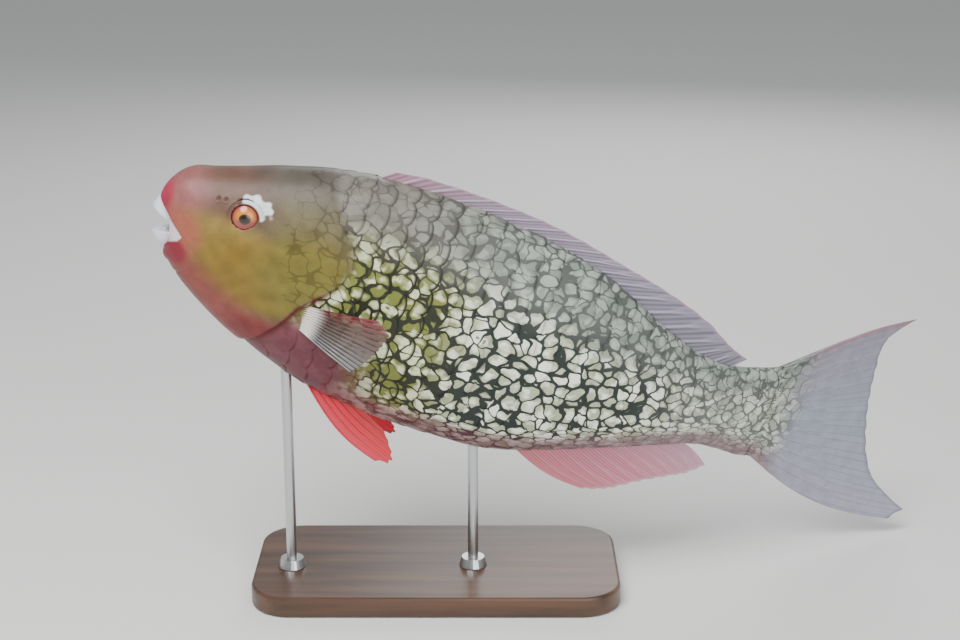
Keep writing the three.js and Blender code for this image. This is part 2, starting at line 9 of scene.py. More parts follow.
import bmesh
import bpy
import numpy as np
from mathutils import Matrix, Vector

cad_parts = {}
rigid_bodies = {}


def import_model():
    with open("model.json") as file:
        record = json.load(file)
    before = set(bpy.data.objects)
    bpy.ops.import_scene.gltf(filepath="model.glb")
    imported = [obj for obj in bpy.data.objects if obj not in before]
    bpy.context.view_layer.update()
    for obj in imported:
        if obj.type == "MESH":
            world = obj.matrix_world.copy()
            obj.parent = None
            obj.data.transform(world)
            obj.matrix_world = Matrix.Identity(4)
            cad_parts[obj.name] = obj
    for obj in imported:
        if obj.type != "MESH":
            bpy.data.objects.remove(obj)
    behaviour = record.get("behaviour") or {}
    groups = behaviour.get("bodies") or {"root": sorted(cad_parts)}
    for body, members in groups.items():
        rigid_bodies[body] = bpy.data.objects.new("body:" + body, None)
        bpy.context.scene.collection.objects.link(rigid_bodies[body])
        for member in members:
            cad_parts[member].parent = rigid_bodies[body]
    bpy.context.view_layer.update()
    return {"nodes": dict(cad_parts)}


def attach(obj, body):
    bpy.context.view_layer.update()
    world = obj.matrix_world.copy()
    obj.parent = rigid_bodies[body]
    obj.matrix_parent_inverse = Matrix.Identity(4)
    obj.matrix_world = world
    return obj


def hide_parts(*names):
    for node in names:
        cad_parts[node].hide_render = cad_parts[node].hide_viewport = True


for leftover in list(bpy.data.objects):
    bpy.data.objects.remove(leftover)
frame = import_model()
nodes = frame["nodes"]
MM = 0.001

# %% [markdown]
# A fish body is easiest to describe straight: at each place along it there is a back height, a
# belly height and a half width. A smooth curve through a few such stations gives the whole form.
# The numbers are the same as in the solids, so the skin fits them.

# %% The straight body
STATIONS = np.array([
    [1.4, 12.5, 12.5, 0.0], [3.0, 20.0, 6.0, 8.5], [8.0, 28.5, -6.5, 14.0], [15.0, 34.0, -19.0, 18.5],
    [25.0, 37.2, -28.0, 22.0], [40.0, 42.7, -37.5, 25.5], [60.0, 50.5, -47.5, 29.0],
    [85.0, 58.5, -56.0, 32.0], [112.0, 63.8, -63.5, 33.5], [145.0, 65.8, -67.0, 33.0],
    [185.0, 65.0, -67.0, 30.0], [220.0, 61.0, -64.5, 25.5], [255.0, 51.5, -54.5, 20.5],
    [290.0, 36.0, -43.5, 15.0], [320.0, 25.5, -35.0, 11.0], [345.0, 23.0, -30.0, 8.5],
    [384.0, 30.5, -33.5, 4.2],
])
BODY_END = 384.0
ROUNDNESS = 2 / 2.15  # 1 is an ellipse, less is squarer


def through_stations(place):
    """Catmull-Rom through the stations: columns x, back, belly and half width at each place."""
    last = len(STATIONS) - 1
    i = np.clip(np.floor(place).astype(int), 0, last - 1)
    f = (place - i)[..., None]
    a, b, c, d = (STATIONS[np.clip(i + k, 0, last)] for k in (-1, 0, 1, 2))
    return b + 0.5 * f * (c - a + f * (2 * a - 5 * b + 4 * c - d + f * (3 * (b - c) + d - a)))


PLACES = np.linspace(0, len(STATIONS) - 1, 4001)
PROFILE = through_stations(PLACES)


def profile_at(x):
    """Back height, belly height and half width of the body at x, in mm."""
    return [np.interp(x, PROFILE[:, 0], PROFILE[:, k]) for k in (1, 2, 3)]


def rounded(v):
    """Turns a circle's sine or cosine into that of the squarer body."""
    return np.sign(v) * np.abs(v) ** ROUNDNESS


def on_body(x, angle, grow=0.0):
    """A point of the straight body. angle 0 is the fish's right side, a quarter turn is its back."""
    top, bottom, width = profile_at(x)
    middle, half = (top + bottom) / 2, (top - bottom) / 2 + grow
    return np.stack([
        x + 0 * angle, (width + grow) * rounded(np.cos(angle)), middle + half * rounded(np.sin(angle)),
    ], -1)


def flank(x, z):
    """Half width of the body at height z."""
    top, bottom, width = profile_at(x)
    level = np.clip((z - (top + bottom) / 2) / ((top - bottom) / 2), -1, 1)
    return width * (1 - np.abs(level) ** (2 / ROUNDNESS)) ** (ROUNDNESS / 2)


print("deepest", round(float((PROFILE[:, 1] - PROFILE[:, 2]).max()), 1), "mm")

# %% [markdown]
# The fish in the photo swims with its nose up and its tail swung to the far side, and the tail fin
# leans and lifts a little. Everything is shaped straight first and then sent through this pose,
# because a straight fish is symmetric and simple to think about.

# %% The pose
NOSE_UP = math.radians(20.5)
BEND = math.radians(23)
BEND_FROM, BEND_TO = 150.0, 380.0
FIN_ROLL = math.radians(16)
FIN_ROLL_FROM, FIN_ROLL_LENGTH = 350.0, 135.0
FIN_RAISE, FIN_RAISE_FROM = 0.13, 370.0
PIVOT_X, PIVOT_HEIGHT, BASE_SHIFT_Y = 165.0, 164.0, 8.0
SPINE_LENGTH, SPINE_STEP = 602.0, 2.0


def ease(t):
    """A soft step from 0 to 1."""
    t = np.clip(t, 0, 1)
    return t * t * (3 - 2 * t)


def heading(x):
    """How far the backbone has turned at x."""
    return BEND * ease((x - BEND_FROM) / (BEND_TO - BEND_FROM))


spine_x = np.arange(0, SPINE_LENGTH, SPINE_STEP)
turns = heading(spine_x[:-1] + SPINE_STEP / 2)
spine_along = np.concatenate([[0], np.cumsum(SPINE_STEP * np.cos(turns))])
spine_aside = np.concatenate([[0], np.cumsum(SPINE_STEP * np.sin(turns))])


def bend_tail(p):
    """Swings the tail to the far side and leans the tail fin."""
    x, y = p[..., 0], p[..., 1]
    z = p[..., 2] + FIN_RAISE * np.maximum(0, x - FIN_RAISE_FROM)
    roll = FIN_ROLL * (np.maximum(0, x - FIN_ROLL_FROM) / FIN_ROLL_LENGTH) ** 2
    side = y * np.cos(roll) + z * np.sin(roll)
    height = z * np.cos(roll) - y * np.sin(roll)
    along = np.where(x < 0, x, np.interp(x, spine_x, spine_along))
    aside = np.interp(x, spine_x, spine_aside)
    turn = heading(x)
    return np.stack([along - side * np.sin(turn), aside + side * np.cos(turn), height], -1)


PIVOT = bend_tail(np.array([PIVOT_X, 0.0, 0.0]))[0]


def pose(p):
    """From the straight fish in mm to its place on the stand in metres."""
    q = bend_tail(np.asarray(p, float))
    x, y, z = q[..., 0] - PIVOT, q[..., 1], q[..., 2]
    c, s = math.cos(NOSE_UP), math.sin(NOSE_UP)
    return MM * np.stack([x * c + z * s, y - BASE_SHIFT_Y, PIVOT_HEIGHT + z * c - x * s], -1)


print("tail end at", pose(np.array([BODY_END, 0, 0])).round(3))

# %% [markdown]
# Most pieces are grids of points wrapped into a closed surface. These helpers turn numpy arrays
# into Blender meshes and read them back. Blender takes and gives a whole mesh at once as flat
# arrays, which is much quicker than going through its points one by one.

# %% Mesh helpers
def read_all(items, name, width=1, kind=np.float32):
    """One property of all the points, faces or corners of a mesh."""
    flat = np.empty(len(items) * width, kind)
    items.foreach_get(name, flat)
    return flat.reshape(-1, width) if width > 1 else flat


def write_all(items, name, values, kind=np.float32):
    items.foreach_set(name, np.asarray(values, kind).ravel())


def read_points(thing):
    return read_all(thing.data.vertices, "co", 3).astype(float)


def write_points(thing, points):
    write_all(thing.data.vertices, "co", points)
    thing.data.update()


def normals_of(thing):
    return read_all(thing.data.vertices, "normal", 3).astype(float)


def points_of_corners(thing):
    return read_all(thing.data.loops, "vertex_index", kind=np.int32)


def shade_smooth(thing, smooth=True):
    write_all(thing.data.polygons, "use_smooth", np.full(len(thing.data.polygons), smooth), bool)


def new_object(name, data):
    thing = bpy.data.objects.new(name, data)
    bpy.context.scene.collection.objects.link(thing)
    return thing


def mesh_object(name, points, faces, smooth=True):
    """A mesh from points and groups of faces, a row of corners for each face."""
    mesh = bpy.data.meshes.new(name)
    corners = np.concatenate([f.ravel() for f in faces])
    sizes = np.concatenate([np.full(len(f), f.shape[1]) for f in faces])
    mesh.vertices.add(len(points))
    write_all(mesh.vertices, "co", points)
    mesh.loops.add(len(corners))
    write_all(mesh.loops, "vertex_index", corners, np.int32)
    mesh.polygons.add(len(sizes))
    write_all(mesh.polygons, "loop_start", np.cumsum(sizes) - sizes, np.int32)
    mesh.update(calc_edges=True)
    mesh.validate()
    thing = new_object(name, mesh)
    shade_smooth(thing, smooth)
    return thing


def fix_normals(thing):
    """Turns every face outwards."""
    b = bmesh.new()
    b.from_mesh(thing.data)
    bmesh.ops.recalc_face_normals(b, faces=b.faces)
    b.to_mesh(thing.data)
    b.free()


def apply_modifiers(thing):
    graph = bpy.context.evaluated_depsgraph_get()
    made = bpy.data.meshes.new_from_object(thing.evaluated_get(graph))
    thing.modifiers.clear()
    thing.data = made


def closed_grid(rows, columns, start=0, wrap=True):
    """Quads over a grid of points, columns joined round when wrap is true."""
    i, j = np.meshgrid(np.arange(rows - 1), np.arange(columns if wrap else columns - 1), indexing="ij")
    a = start + i * columns + j
    b = start + i * columns + (j + 1) % columns
    return np.stack([a, b, b + columns, a + columns], -1).reshape(-1, 4)


def capped_tube(name, rings):
    """A closed tube from rings of points, shape (rings, round, 3), with a fan at each end."""
    rows, columns = rings.shape[:2]
    poles = np.stack([rings[0].mean(0), rings[-1].mean(0)])
    points = np.concatenate([rings.reshape(-1, 3), poles])
    j = np.arange(columns)
    k = (j + 1) % columns
    first, last = rows * columns, rows * columns + 1
    near = np.stack([k, j, np.full(columns, first)], -1)
    end = (rows - 1) * columns
    far = np.stack([end + j, end + k, np.full(columns, last)], -1)
    tube = mesh_object(name, points, [closed_grid(rows, columns), near, far])
    fix_normals(tube)
    return tube


print("a tube of 3 rings of 4 points has", len(closed_grid(3, 4)), "faces round it")

# %% [markdown]
# The flesh starts as a plain body tube. Rolls are added to it and hollows are cut from it, as a
# sculptor works in clay. These helpers make a roll, a ball and an outline pushed through from the
# side, and a boolean modifier joins them to the flesh or cuts them out of it.

# %% Rolls, balls and cuts
def full_turn(steps):
    return np.linspace(0, 2 * np.pi, steps, endpoint=False)


def unit_length(v):
    return v / np.maximum(np.linalg.norm(v, axis=-1, keepdims=True), 1e-9)


def roll_of_flesh(name, path, radius, steps=60, around=24):
    """A fat tube that tapers at both ends, along a path of points."""
    t = np.linspace(0, 1, steps)
    old = np.linspace(0, 1, len(path))
    centre = np.stack([np.interp(t, old, path[:, k]) for k in range(3)], -1)
    ahead = unit_length(np.gradient(centre, axis=0))
    out = unit_length(np.cross([0, 0, 1.0], ahead))
    up = np.cross(ahead, out)
    swell = radius * np.sqrt(np.maximum(0.06, np.sin(np.pi * np.linspace(0.03, 0.97, steps))))
    turn = full_turn(around)[None, :, None]
    round_about = out[:, None] * np.cos(turn) + up[:, None] * np.sin(turn)
    return capped_tube(name, centre[:, None] + swell[:, None, None] * round_about)


def side_prism(name, outline, half=80.0):
    """A side-view outline pushed through the fish from left to right."""
    outline = np.array(outline, float)
    n = len(outline)
    ends = [np.stack([outline[:, 0], np.full(n, y), outline[:, 1]], -1) for y in (-half, half)]
    i = np.arange(n)
    j = (i + 1) % n
    sides = np.stack([i, j, j + n, i + n], -1)
    made = mesh_object(name, np.concatenate(ends), [sides, i[None, ::-1], i[None] + n], smooth=False)
    fix_normals(made)
    return made


def ball(name, centre, radii, across=48, around=64, gap=0.02, axes=(0, 1, 2)):
    """A ball or an egg shape. Its poles point along the last of the axes."""
    lat = np.linspace(gap, np.pi - gap, across)[:, None]
    lon = full_turn(around)[None, :]
    unit = np.stack([np.sin(lat) * np.cos(lon), np.sin(lat) * np.sin(lon), np.cos(lat) + 0 * lon], -1)
    return capped_tube(name, unit[..., list(axes)] * np.array(radii) + np.array(centre))


def carve(thing, tool, operation):
    change = thing.modifiers.new(operation, "BOOLEAN")
    change.operation = operation
    change.solver = "MANIFOLD"
    change.object = tool
    apply_modifiers(thing)
    bpy.data.objects.remove(tool)


BODY_RINGS, BODY_ROUND, RING_CROWDING = 260, 160, 1.15  # the rings crowd towards the snout
ring_share = np.linspace(0.02, 1, BODY_RINGS) ** RING_CROWDING
rings_at = np.interp(ring_share * (len(PLACES) - 1), np.arange(len(PLACES)), PROFILE[:, 0])
skin = capped_tube("skin", on_body(rings_at[:, None], full_turn(BODY_ROUND)[None, :]))
print("plain body tube:", len(skin.data.polygons), "faces")

# %% [markdown]
# A real parrotfish has fleshy lips behind its beak. Each lip is a roll of flesh that follows the
# jaw. The mouth is open a little in the photo, so its side view is cut right through the snout, and
# a shallow hollow is cut behind it.

# %% Lips and mouth
MOUTH_CORNER = np.array([21.0, -1.0])
UPPER_LIP_FRONT = np.array([2.0, 12.5])
LOWER_LIP_FRONT = np.array([12.3, -16.0])
MOUTH_SKIN = [(10.5, 4.5), (11.5, 0.5), (14, -6.6), (12.6, -11)]  # the skin at the corner ends here
MOUTH_HOLLOW = ((17, 0, -1.5), (13, 7.5, 5.5))
LIP_RADIUS, CHIN_LIP_RADIUS = 2.6, 5.6
LIP_LENGTH, LIP_HALF = 16.5, 14.5
CHIN_CENTRE, CHIN_LENGTH, CHIN_DROP = (24, -4.5), 6.5, 11


def upper_lip(x):
    """Height of the upper lip's edge."""
    run = MOUTH_CORNER[0] - UPPER_LIP_FRONT[0]
    return UPPER_LIP_FRONT[1] + (MOUTH_CORNER[1] - UPPER_LIP_FRONT[1]) * (x - UPPER_LIP_FRONT[0]) / run


jaw = np.linspace(-np.pi / 2, np.pi / 2, 40)
jaw_side = LIP_HALF * np.sin(jaw)
upper_x = MOUTH_CORNER[0] - LIP_LENGTH * np.cos(jaw)
upper_path = np.stack([upper_x, jaw_side, upper_lip(upper_x) + LIP_RADIUS - 0.5], -1)
lower_path = np.stack([
    CHIN_CENTRE[0] - CHIN_LENGTH * np.cos(jaw), jaw_side, CHIN_CENTRE[1] - CHIN_DROP * np.cos(jaw),
], -1)
for path, radius in ((upper_path, LIP_RADIUS), (lower_path, CHIN_LIP_RADIUS)):
    carve(skin, roll_of_flesh("lip", path, radius), "UNION")
gape = [
    (-14, upper_lip(-14)), (MOUTH_SKIN[0][0], upper_lip(MOUTH_SKIN[0][0])), *MOUTH_SKIN,
    tuple(LOWER_LIP_FRONT), (9, -22), (-14, -22),
]
carve(skin, side_prism("gape", gape), "DIFFERENCE")
carve(skin, ball("mouth_hollow", *MOUTH_HOLLOW), "DIFFERENCE")
print("with lips and mouth:", len(skin.data.polygons), "faces")

# %% [markdown]
# Each eye sits in a raised rim. The rim is a ring laid flat on the flank and joined to it, and the
# socket is a ball cut out a hair wider than the eyeball, so that the two never touch.

# %% Eye rims and sockets
EYE_X, EYE_Z, EYE_RADIUS, EYE_SUNK, EYE_RIM = 50.0, 22.0, 9.2, 6.2, 8.4
RIM_RADIUS, RIM_SUNK, RIM_LEAN, SOCKET_GAP = 1.6, 0.7, 0.12, 0.15
eye_flank = float(flank(EYE_X, EYE_Z))
for side in (-1, 1):
    bpy.ops.mesh.primitive_torus_add(
        major_radius=EYE_RIM, minor_radius=RIM_RADIUS, major_segments=64, minor_segments=20,
        location=(EYE_X, side * (eye_flank - RIM_SUNK), EYE_Z),
        rotation=(math.pi / 2, 0, side * RIM_LEAN),
    )
    rim = bpy.context.object
    rim.data.transform(rim.matrix_world)
    rim.matrix_world.identity()
    carve(skin, rim, "UNION")
    eye_centre = (EYE_X, side * (eye_flank - EYE_SUNK), EYE_Z)
    carve(skin, ball("socket", eye_centre, [EYE_RADIUS + SOCKET_GAP] * 3), "DIFFERENCE")
print("skin before the remesh", len(skin.data.polygons), "faces")

# %% [markdown]
# Now the clay is melted together. A voxel remesh lays one even grid over everything that was joined,
# so no seam is left, and a little smoothing rounds the corners. The points are still those of the
# straight fish, and they are kept so that the materials can paint by body place whatever the pose.

# %% One skin
SKIN_CELL, SKIN_SMOOTHING = 0.7, 5  # the remesh's grid in mm, and how often it is smoothed


def melt_together(thing, cell, smoothing):
    melt = thing.modifiers.new("melt", "REMESH")
    melt.mode = "VOXEL"
    melt.voxel_size = cell
    soften = thing.modifiers.new("soften", "SMOOTH")
    soften.iterations = smoothing
    apply_modifiers(thing)


melt_together(skin, SKIN_CELL, SKIN_SMOOTHING)
skin_at = read_points(skin)
print("skin", len(skin_at), "points")

# %% [markdown]
# The head carries the finer relief. The gill cover's free edge stands proud of the flank behind
# it, there are two nostrils before each eye, and the scaled skin sinks a little so that the scales
# lie on it without making the fish fatter. Each is a small push along the surface's normal.

# %% Relief of the skin
GILL_EDGE = np.array([
    [58, -62], [66, -50], [77, -40], [86, -27], [92, -14], [101, -4], [109, 6], [113, 17], [110, 28],
    [100, 36], [90, 50], [84, 75],
], float)
GILL_STEP, GILL_STEP_FADE = 1.5, 9.0
COAT_DEPTH = 0.75
NOSTRILS = [(33, 26, 0.9), (37, 27, 0.8)]  # x, z and radius
TAIL_SINK, TAIL_SINK_FROM, TAIL_SINK_OVER = 1.3, 368, 16


def behind_gill(x, z):
    """How far behind the gill cover's edge a point lies, negative on the head."""
    return x - np.interp(z, GILL_EDGE[:, 1], GILL_EDGE[:, 0])


def gill_sink(x, z):
    """How much the flank is hollowed behind the gill cover."""
    fade = ease((z + 58) / 6) * (1 - ease((z - 30) / 8))
    return fade * GILL_STEP * np.exp(-np.maximum(behind_gill(x, z), 0) / GILL_STEP_FADE)


def tail_sink(x):
    """Skin and scales thin out where the tail fin takes over."""
    return TAIL_SINK * ease((x - TAIL_SINK_FROM) / TAIL_SINK_OVER)


def coat_share(x, z):
    """How deep the coat lies: full on the flank, thinner on cheek and nape, none on the face."""
    scaled = ease(behind_gill(x, z) / 5 + 0.5)
    cheek = 0.4 * ease((x - 56) / 14) * ease((z + 24) / 12)
    return scaled + (1 - scaled) * cheek


def in_mouth_skin(x, z):
    """1 on the pale skin between the lips at the corner of the mouth."""
    below = np.interp(x, [12, 12.6, 14, 19.4, 21.5], [-16, -11, -7.8, -4.6, -1])
    return ease((upper_lip(x) - z + 0.3) / 1.2) * ease((z - below + 0.3) / 1.2) * ease((22 - x) / 1.5)


def skin_relief(p):
    """How far each point of the skin is pushed out, in mm."""
    x, z = p[:, 0], p[:, 2]
    push = -np.where(behind_gill(x, z) > 0, gill_sink(x, z), 0)
    push -= COAT_DEPTH * coat_share(x, z) + in_mouth_skin(x, z) + tail_sink(x)
    for nostril_x, nostril_z, radius in NOSTRILS:
        far = np.hypot(x - nostril_x, z - nostril_z)
        push += 0.25 * np.exp(-(((far - 1.7 * radius) / 0.7) ** 2)) - 1.2 * np.exp(-((far / radius) ** 2))
    jaw_crease = np.abs(z + 27 - 0.9 * (x - 20)) / 1.4
    push -= 0.5 * np.exp(-(jaw_crease**2)) * ease((34 - x) / 8) * ease((x - 12) / 4)
    return push


relief = skin_relief(skin_at)
skin_at += normals_of(skin) * relief[:, None]
print("relief from", relief.min().round(2), "to", relief.max().round(2), "mm")

# %% [markdown]
# The markings are painted by body place: colours are named once and laid over one another with
# soft masks, as an airbrush would. The head comes first. It is a soft mix of olive, rose and wine
# red, from tables of patches, with a ragged white patch over the eye.

# %% Colours of the head
HEAD_GROUND, CHIN = (82, 76, 68), (138, 70, 62)
EYE_PATCH, MOUTH_PINK = (220, 226, 226), (214, 200, 214)
CHEEK_PATCHES = [  # colour, centre, radii, softness and share
    ((104, 96, 68), (92, 20), (40, 24), 0.9, 1),
    ((100, 73, 61), (26, 28), (36, 22), 0.9, 1),
    ((140, 86, 84), (6, 21), (20, 20), 0.9, 1),
    ((138, 116, 62), (44, 4), (30, 14), 0.8, 1),
    ((124, 100, 40), (66, -7), (38, 20), 0.8, 1),
    ((112, 102, 46), (92, 2), (28, 24), 0.8, 1),
]
LIP_PATCHES = [
    ((158, 82, 72), (18, 1), (13, 12), 0.9, 0.8),
    ((162, 50, 70), (3, 15), (6, 11), 0.9, 1),
    ((136, 42, 54), (18, -11), (8.5, 7), 0.5, 1),
    ((122, 50, 50), (76, -38), (22, 9), 0.9, 1),
]


def paint(red, green, blue):
    """A display colour, 0 to 255, as the linear light that Blender works in."""
    c = np.array([red, green, blue]) / 255
    return np.where(c <= 0.04045, c / 12.92, ((c + 0.055) / 1.055) ** 2.4)


def lay(under, colour, mask):
    """One colour over another, as strong as the mask."""
    return under + (colour - under) * mask[..., None]


def soft_blob(x, z, centre, radii, edge=0.5):
    """1 inside an upright oval and 0 outside, with a soft edge."""
    far = np.hypot((x - centre[0]) / radii[0], (z - centre[1]) / radii[1])
    return 1 - ease((far - 1 + edge / 2) / edge)


def head_tone(p):
    x, z = p[:, 0], p[:, 2]
    above_belly = z - profile_at(x)[1]
    tone = np.tile(paint(*HEAD_GROUND), (len(p), 1))
    for colour, centre, radii, edge, share in CHEEK_PATCHES:
        tone = lay(tone, paint(*colour), soft_blob(x, z, centre, radii, edge) * share)
    tone = lay(tone, paint(*CHIN), 1 - ease((above_belly - 10 - 0.06 * x) / 18))
    for colour, centre, radii, edge, share in LIP_PATCHES:
        tone = lay(tone, paint(*colour), soft_blob(x, z, centre, radii, edge) * share)
    smudge = np.sin(x * 0.31 + 1.1 * np.sin(z * 0.23)) * np.sin(z * 0.37 + 1.3 * np.sin(x * 0.17))
    tone = tone * (1 + 0.1 * smudge * ease((x - 20) / 20))[:, None]
    ragged = 1 + 0.14 * np.sin(x * 0.9 + z * 0.5) + 0.09 * np.sin(z * 1.5 - x * 0.6)
    patch = soft_blob(x, z, (EYE_X + 3.4, EYE_Z + 7), (8.6 * ragged, 5.4 * ragged), 0.2)
    outside_eye = ease((np.hypot(x - EYE_X, z - EYE_Z) - 7.6) / 0.8)
    tone = lay(tone, paint(*EYE_PATCH), patch * outside_eye)
    return lay(tone, paint(*MOUTH_PINK), in_mouth_skin(x, z))


print("olive cheek", head_tone(np.array([[70.0, 30.0, 0.0]]))[0].round(3))

# %% [markdown]
# On the flank each place has three colours: one for the dark lines, one for the pale cells between
# them and one for the shaded side of a cell. The table gives each of them for seven parts of the
# fish, and soft masks run from one part into the next.

# %% Colours of the flank
FLANK_TONES = [  # front, middle and tail end of the flank, nape, back, belly and throat
    [(42, 44, 30), (42, 50, 46), (102, 104, 102), (86, 82, 76), (88, 92, 88), (96, 56, 66),
     (88, 42, 50)],
    [(216, 220, 182), (248, 250, 236), (206, 212, 198), (118, 114, 104), (160, 168, 158),
     (144, 106, 114), (110, 60, 68)],
    [(116, 122, 56), (180, 186, 156), (164, 168, 154), (104, 102, 92), (130, 138, 130),
     (118, 78, 86), (102, 52, 60)],
]
REAR_BELLY, GILL_LINE = (126, 108, 114), (92, 20, 30)


def body_tones(x, z):
    """Tones of lines, cells and shaded cells on the flank, and where back, breast and throat are."""
    top, bottom = profile_at(x)[:2]
    rear = ease((x - 190) / 90)
    slim = ease((x - 250) / 80)
    breast = 1 - ease((z - bottom - 13 + 0.02 * x) / 11)
    throat = soft_blob(x, z, (92, -44), (44, 25), 0.7)
    back = 1 - ease((top - z - 16 + 8 * slim - 6 * ease((x - 120) / 80) * (1 - slim)) / (30 - 12 * slim))
    tones = []
    for row in FLANK_TONES:
        front, middle, tail, nape, above, below, under = [paint(*colour) for colour in row]
        tone = lay(front, middle, ease((x - 160) / 40))
        tone = lay(tone, tail, ease((x - 280) / 60))
        tone = lay(tone, lay(nape, above, ease((x - 110) / 110)), back)
        tone = lay(tone, lay(below, paint(*REAR_BELLY), 0.5 * rear), 0.85 * breast)
        tones.append(lay(tone, under, throat))
    return tones, back, breast, throat


print("pale cell in the middle", body_tones(np.array([220.0]), np.array([0.0]))[0][1][0].round(3))

# %% [markdown]
# Skin, scales and tail fin ask one function for their markings, so the coat and what lies under it
# agree. Besides the colours it gives three numbers: how wide the lines are, how much the cells
# vary, and how dark the dot in a cell is. On the tail fin the markings follow the rays.

# %% Markings
CAUDAL_CENTRE, CAUDAL_OVERLAP = -1.5, 6.0  # the tail fin's mid height, and how far it is rooted in
RAY_SPREAD = 0.0134  # how much farther apart the tail fin's rays are for every mm


def root_height(p):
    """The height of a point, or on the tail fin the height of the root of the ray it lies on."""
    spread = 1 + RAY_SPREAD * np.maximum(0, p[:, 0] - BODY_END + CAUDAL_OVERLAP)
    return (p[:, 2] - CAUDAL_CENTRE) / spread + CAUDAL_CENTRE


def markings(p):
    """Tones of lines, cells and shaded cells at points of the straight fish, and with them line
    width, variety and dark dot."""
    x, z = p[:, 0], root_height(p)
    behind = behind_gill(x, z)
    flanked = ease((behind + 3) / 9)
    tones, back, breast, throat = body_tones(x, z)
    head = head_tone(p)
    gill_line = np.exp(-(((behind - 0.6) / 2.0) ** 2)) * (1 - ease((z + 6) / 10)) * 0.9
    tones = [
        lay(lay(head * share, tone, flanked), paint(*GILL_LINE), gill_line)
        for share, tone in zip((0.62, 1.0, 0.94), tones)
    ]
    crack = ease((x - 58 - 0.6 * np.clip(16 - z, 0, 20)) / 22) * ease((z + 26) / 14)
    head_width = 0.215 * crack - 0.24
    middle = ease((x - 165) / 40) * (1 - ease((x - 290) / 60))
    flank_width = 0.035 * ease((x - 100) / 60) + 0.025 * middle - 0.01 - 0.02 * back
    flank_width -= 0.14 * throat + 0.07 * breast
    line_width = head_width + (flank_width - head_width) * flanked
    variety = flanked * (0.25 + 0.75 * ease((x - 140) / 50)) * (1 - breast)
    dot = flanked * (1 - ease((x - 190) / 30)) * soft_blob(x, z, (145, 6), (60, 36), 0.5)
    return tones, np.stack([line_width, variety, dot], -1)


print("mid-flank numbers", markings(np.array([[220.0, 0.0, 0.0]]))[1][0].round(3))

# %% [markdown]
# Scales grow in a lattice on the rounded flank: columns from head to tail, each shifted by half a
# row from the last. A table made once turns a place along the fish and a distance round the flank
# into an angle on the body, so a scale can be laid anywhere. The same table serves the markings.

# %% Distances round the flank
TABLE_PLACES, TABLE_TURNS, TURN_LIMIT = 192, 641, 160  # the last in degrees
BELLY_TURN, WIDEST_TURN, BACK_TURN = 140, 320, 500  # columns of the table at -90, 0 and 90 degrees
ARC_LIMIT, TABLE_ARCS = 125, 501
table_x = np.linspace(2, BODY_END, TABLE_PLACES)
table_turn = np.radians(np.linspace(-TURN_LIMIT, TURN_LIMIT, TABLE_TURNS))
around = on_body(table_x[:, None], table_turn[None, :])
steps_round = np.linalg.norm(np.diff(around, axis=1), axis=2)
arc = np.concatenate([np.zeros((len(table_x), 1)), np.cumsum(steps_round, 1)], 1)
arc -= arc[:, WIDEST_TURN:WIDEST_TURN + 1]
table_arc = np.linspace(-ARC_LIMIT, ARC_LIMIT, TABLE_ARCS)
turn_of_arc = np.stack([np.interp(table_arc, row, table_turn) for row in arc])


def from_table(table, rows, columns, x, y):
    """A value between the rows and columns of a table, by straight lines."""
    i = np.clip((x - rows[0]) / (rows[1] - rows[0]), 0, len(rows) - 1.001)
    j = np.clip((y - columns[0]) / (columns[1] - columns[0]), 0, len(columns) - 1.001)
    i0, j0 = i.astype(int), j.astype(int)
    fi, fj = i - i0, j - j0
    near = table[i0, j0] * (1 - fi) + table[i0 + 1, j0] * fi
    far = table[i0, j0 + 1] * (1 - fi) + table[i0 + 1, j0 + 1] * fi
    return near * (1 - fj) + far * fj


def turn_at(x, a):
    """The angle on the body at a distance a round the flank from its widest line."""
    return from_table(turn_of_arc, table_x, table_arc, x, a)


def arc_at(x, turn):
    """The other way round: the distance round the flank at an angle."""
    return from_table(arc, table_x, table_turn, x, turn)


def on_flank(x, a, lift):
    """A point of the right flank, lifted off the CAD surface by lift mm."""
    at = on_body(x, turn_at(x, a))
    near = 0.4
    along = on_body(x + near, turn_at(x + near, a)) - at
    across = on_body(x, turn_at(x, a + near)) - at
    return at + unit_length(np.cross(across, along)) * lift[..., None]


mid_flank = [on_flank(np.array([200.0]), np.array([0.0]), np.array([lift])) for lift in (0.0, 1.0)]
print("a lift of 1 mm moves the mid-flank by", (mid_flank[1] - mid_flank[0]).round(2))

# %% [markdown]
# One material will paint all skin, so each piece must tell it where on the fish its points lie. That
# is stored with the points: the colours and numbers of the markings, the place on the straight fish,
# and the place on the unrolled flank, where the cells grow. On the unrolled flank the cells are made
# longer than deep, finer towards the tail, and drawn out under the belly.

# %% Dress a piece in markings
CM = 0.1  # the material measures in centimetres
CELL_SQUEEZE, TAIL_FINER, FINER_FROM, FINER_OVER = 1.15, 0.3, 240, 140
BELLY_BAND, BELLY_DRAW = 20, 0.8
SIDES_APART = 3.0  # so that left and right don't mirror each other


def keep_colour(thing, name, rgb):
    """Colours of all points, under a name that a material can read."""
    layer = thing.data.color_attributes.new(name, "FLOAT_COLOR", "POINT")
    write_all(layer.data, "color", np.concatenate([rgb, np.ones((len(rgb), 1))], 1))


def keep_values(thing, name, values, kind="FLOAT_VECTOR", field="vector"):
    layer = thing.data.attributes.new(name, kind, "POINT")
    write_all(layer.data, field, values)


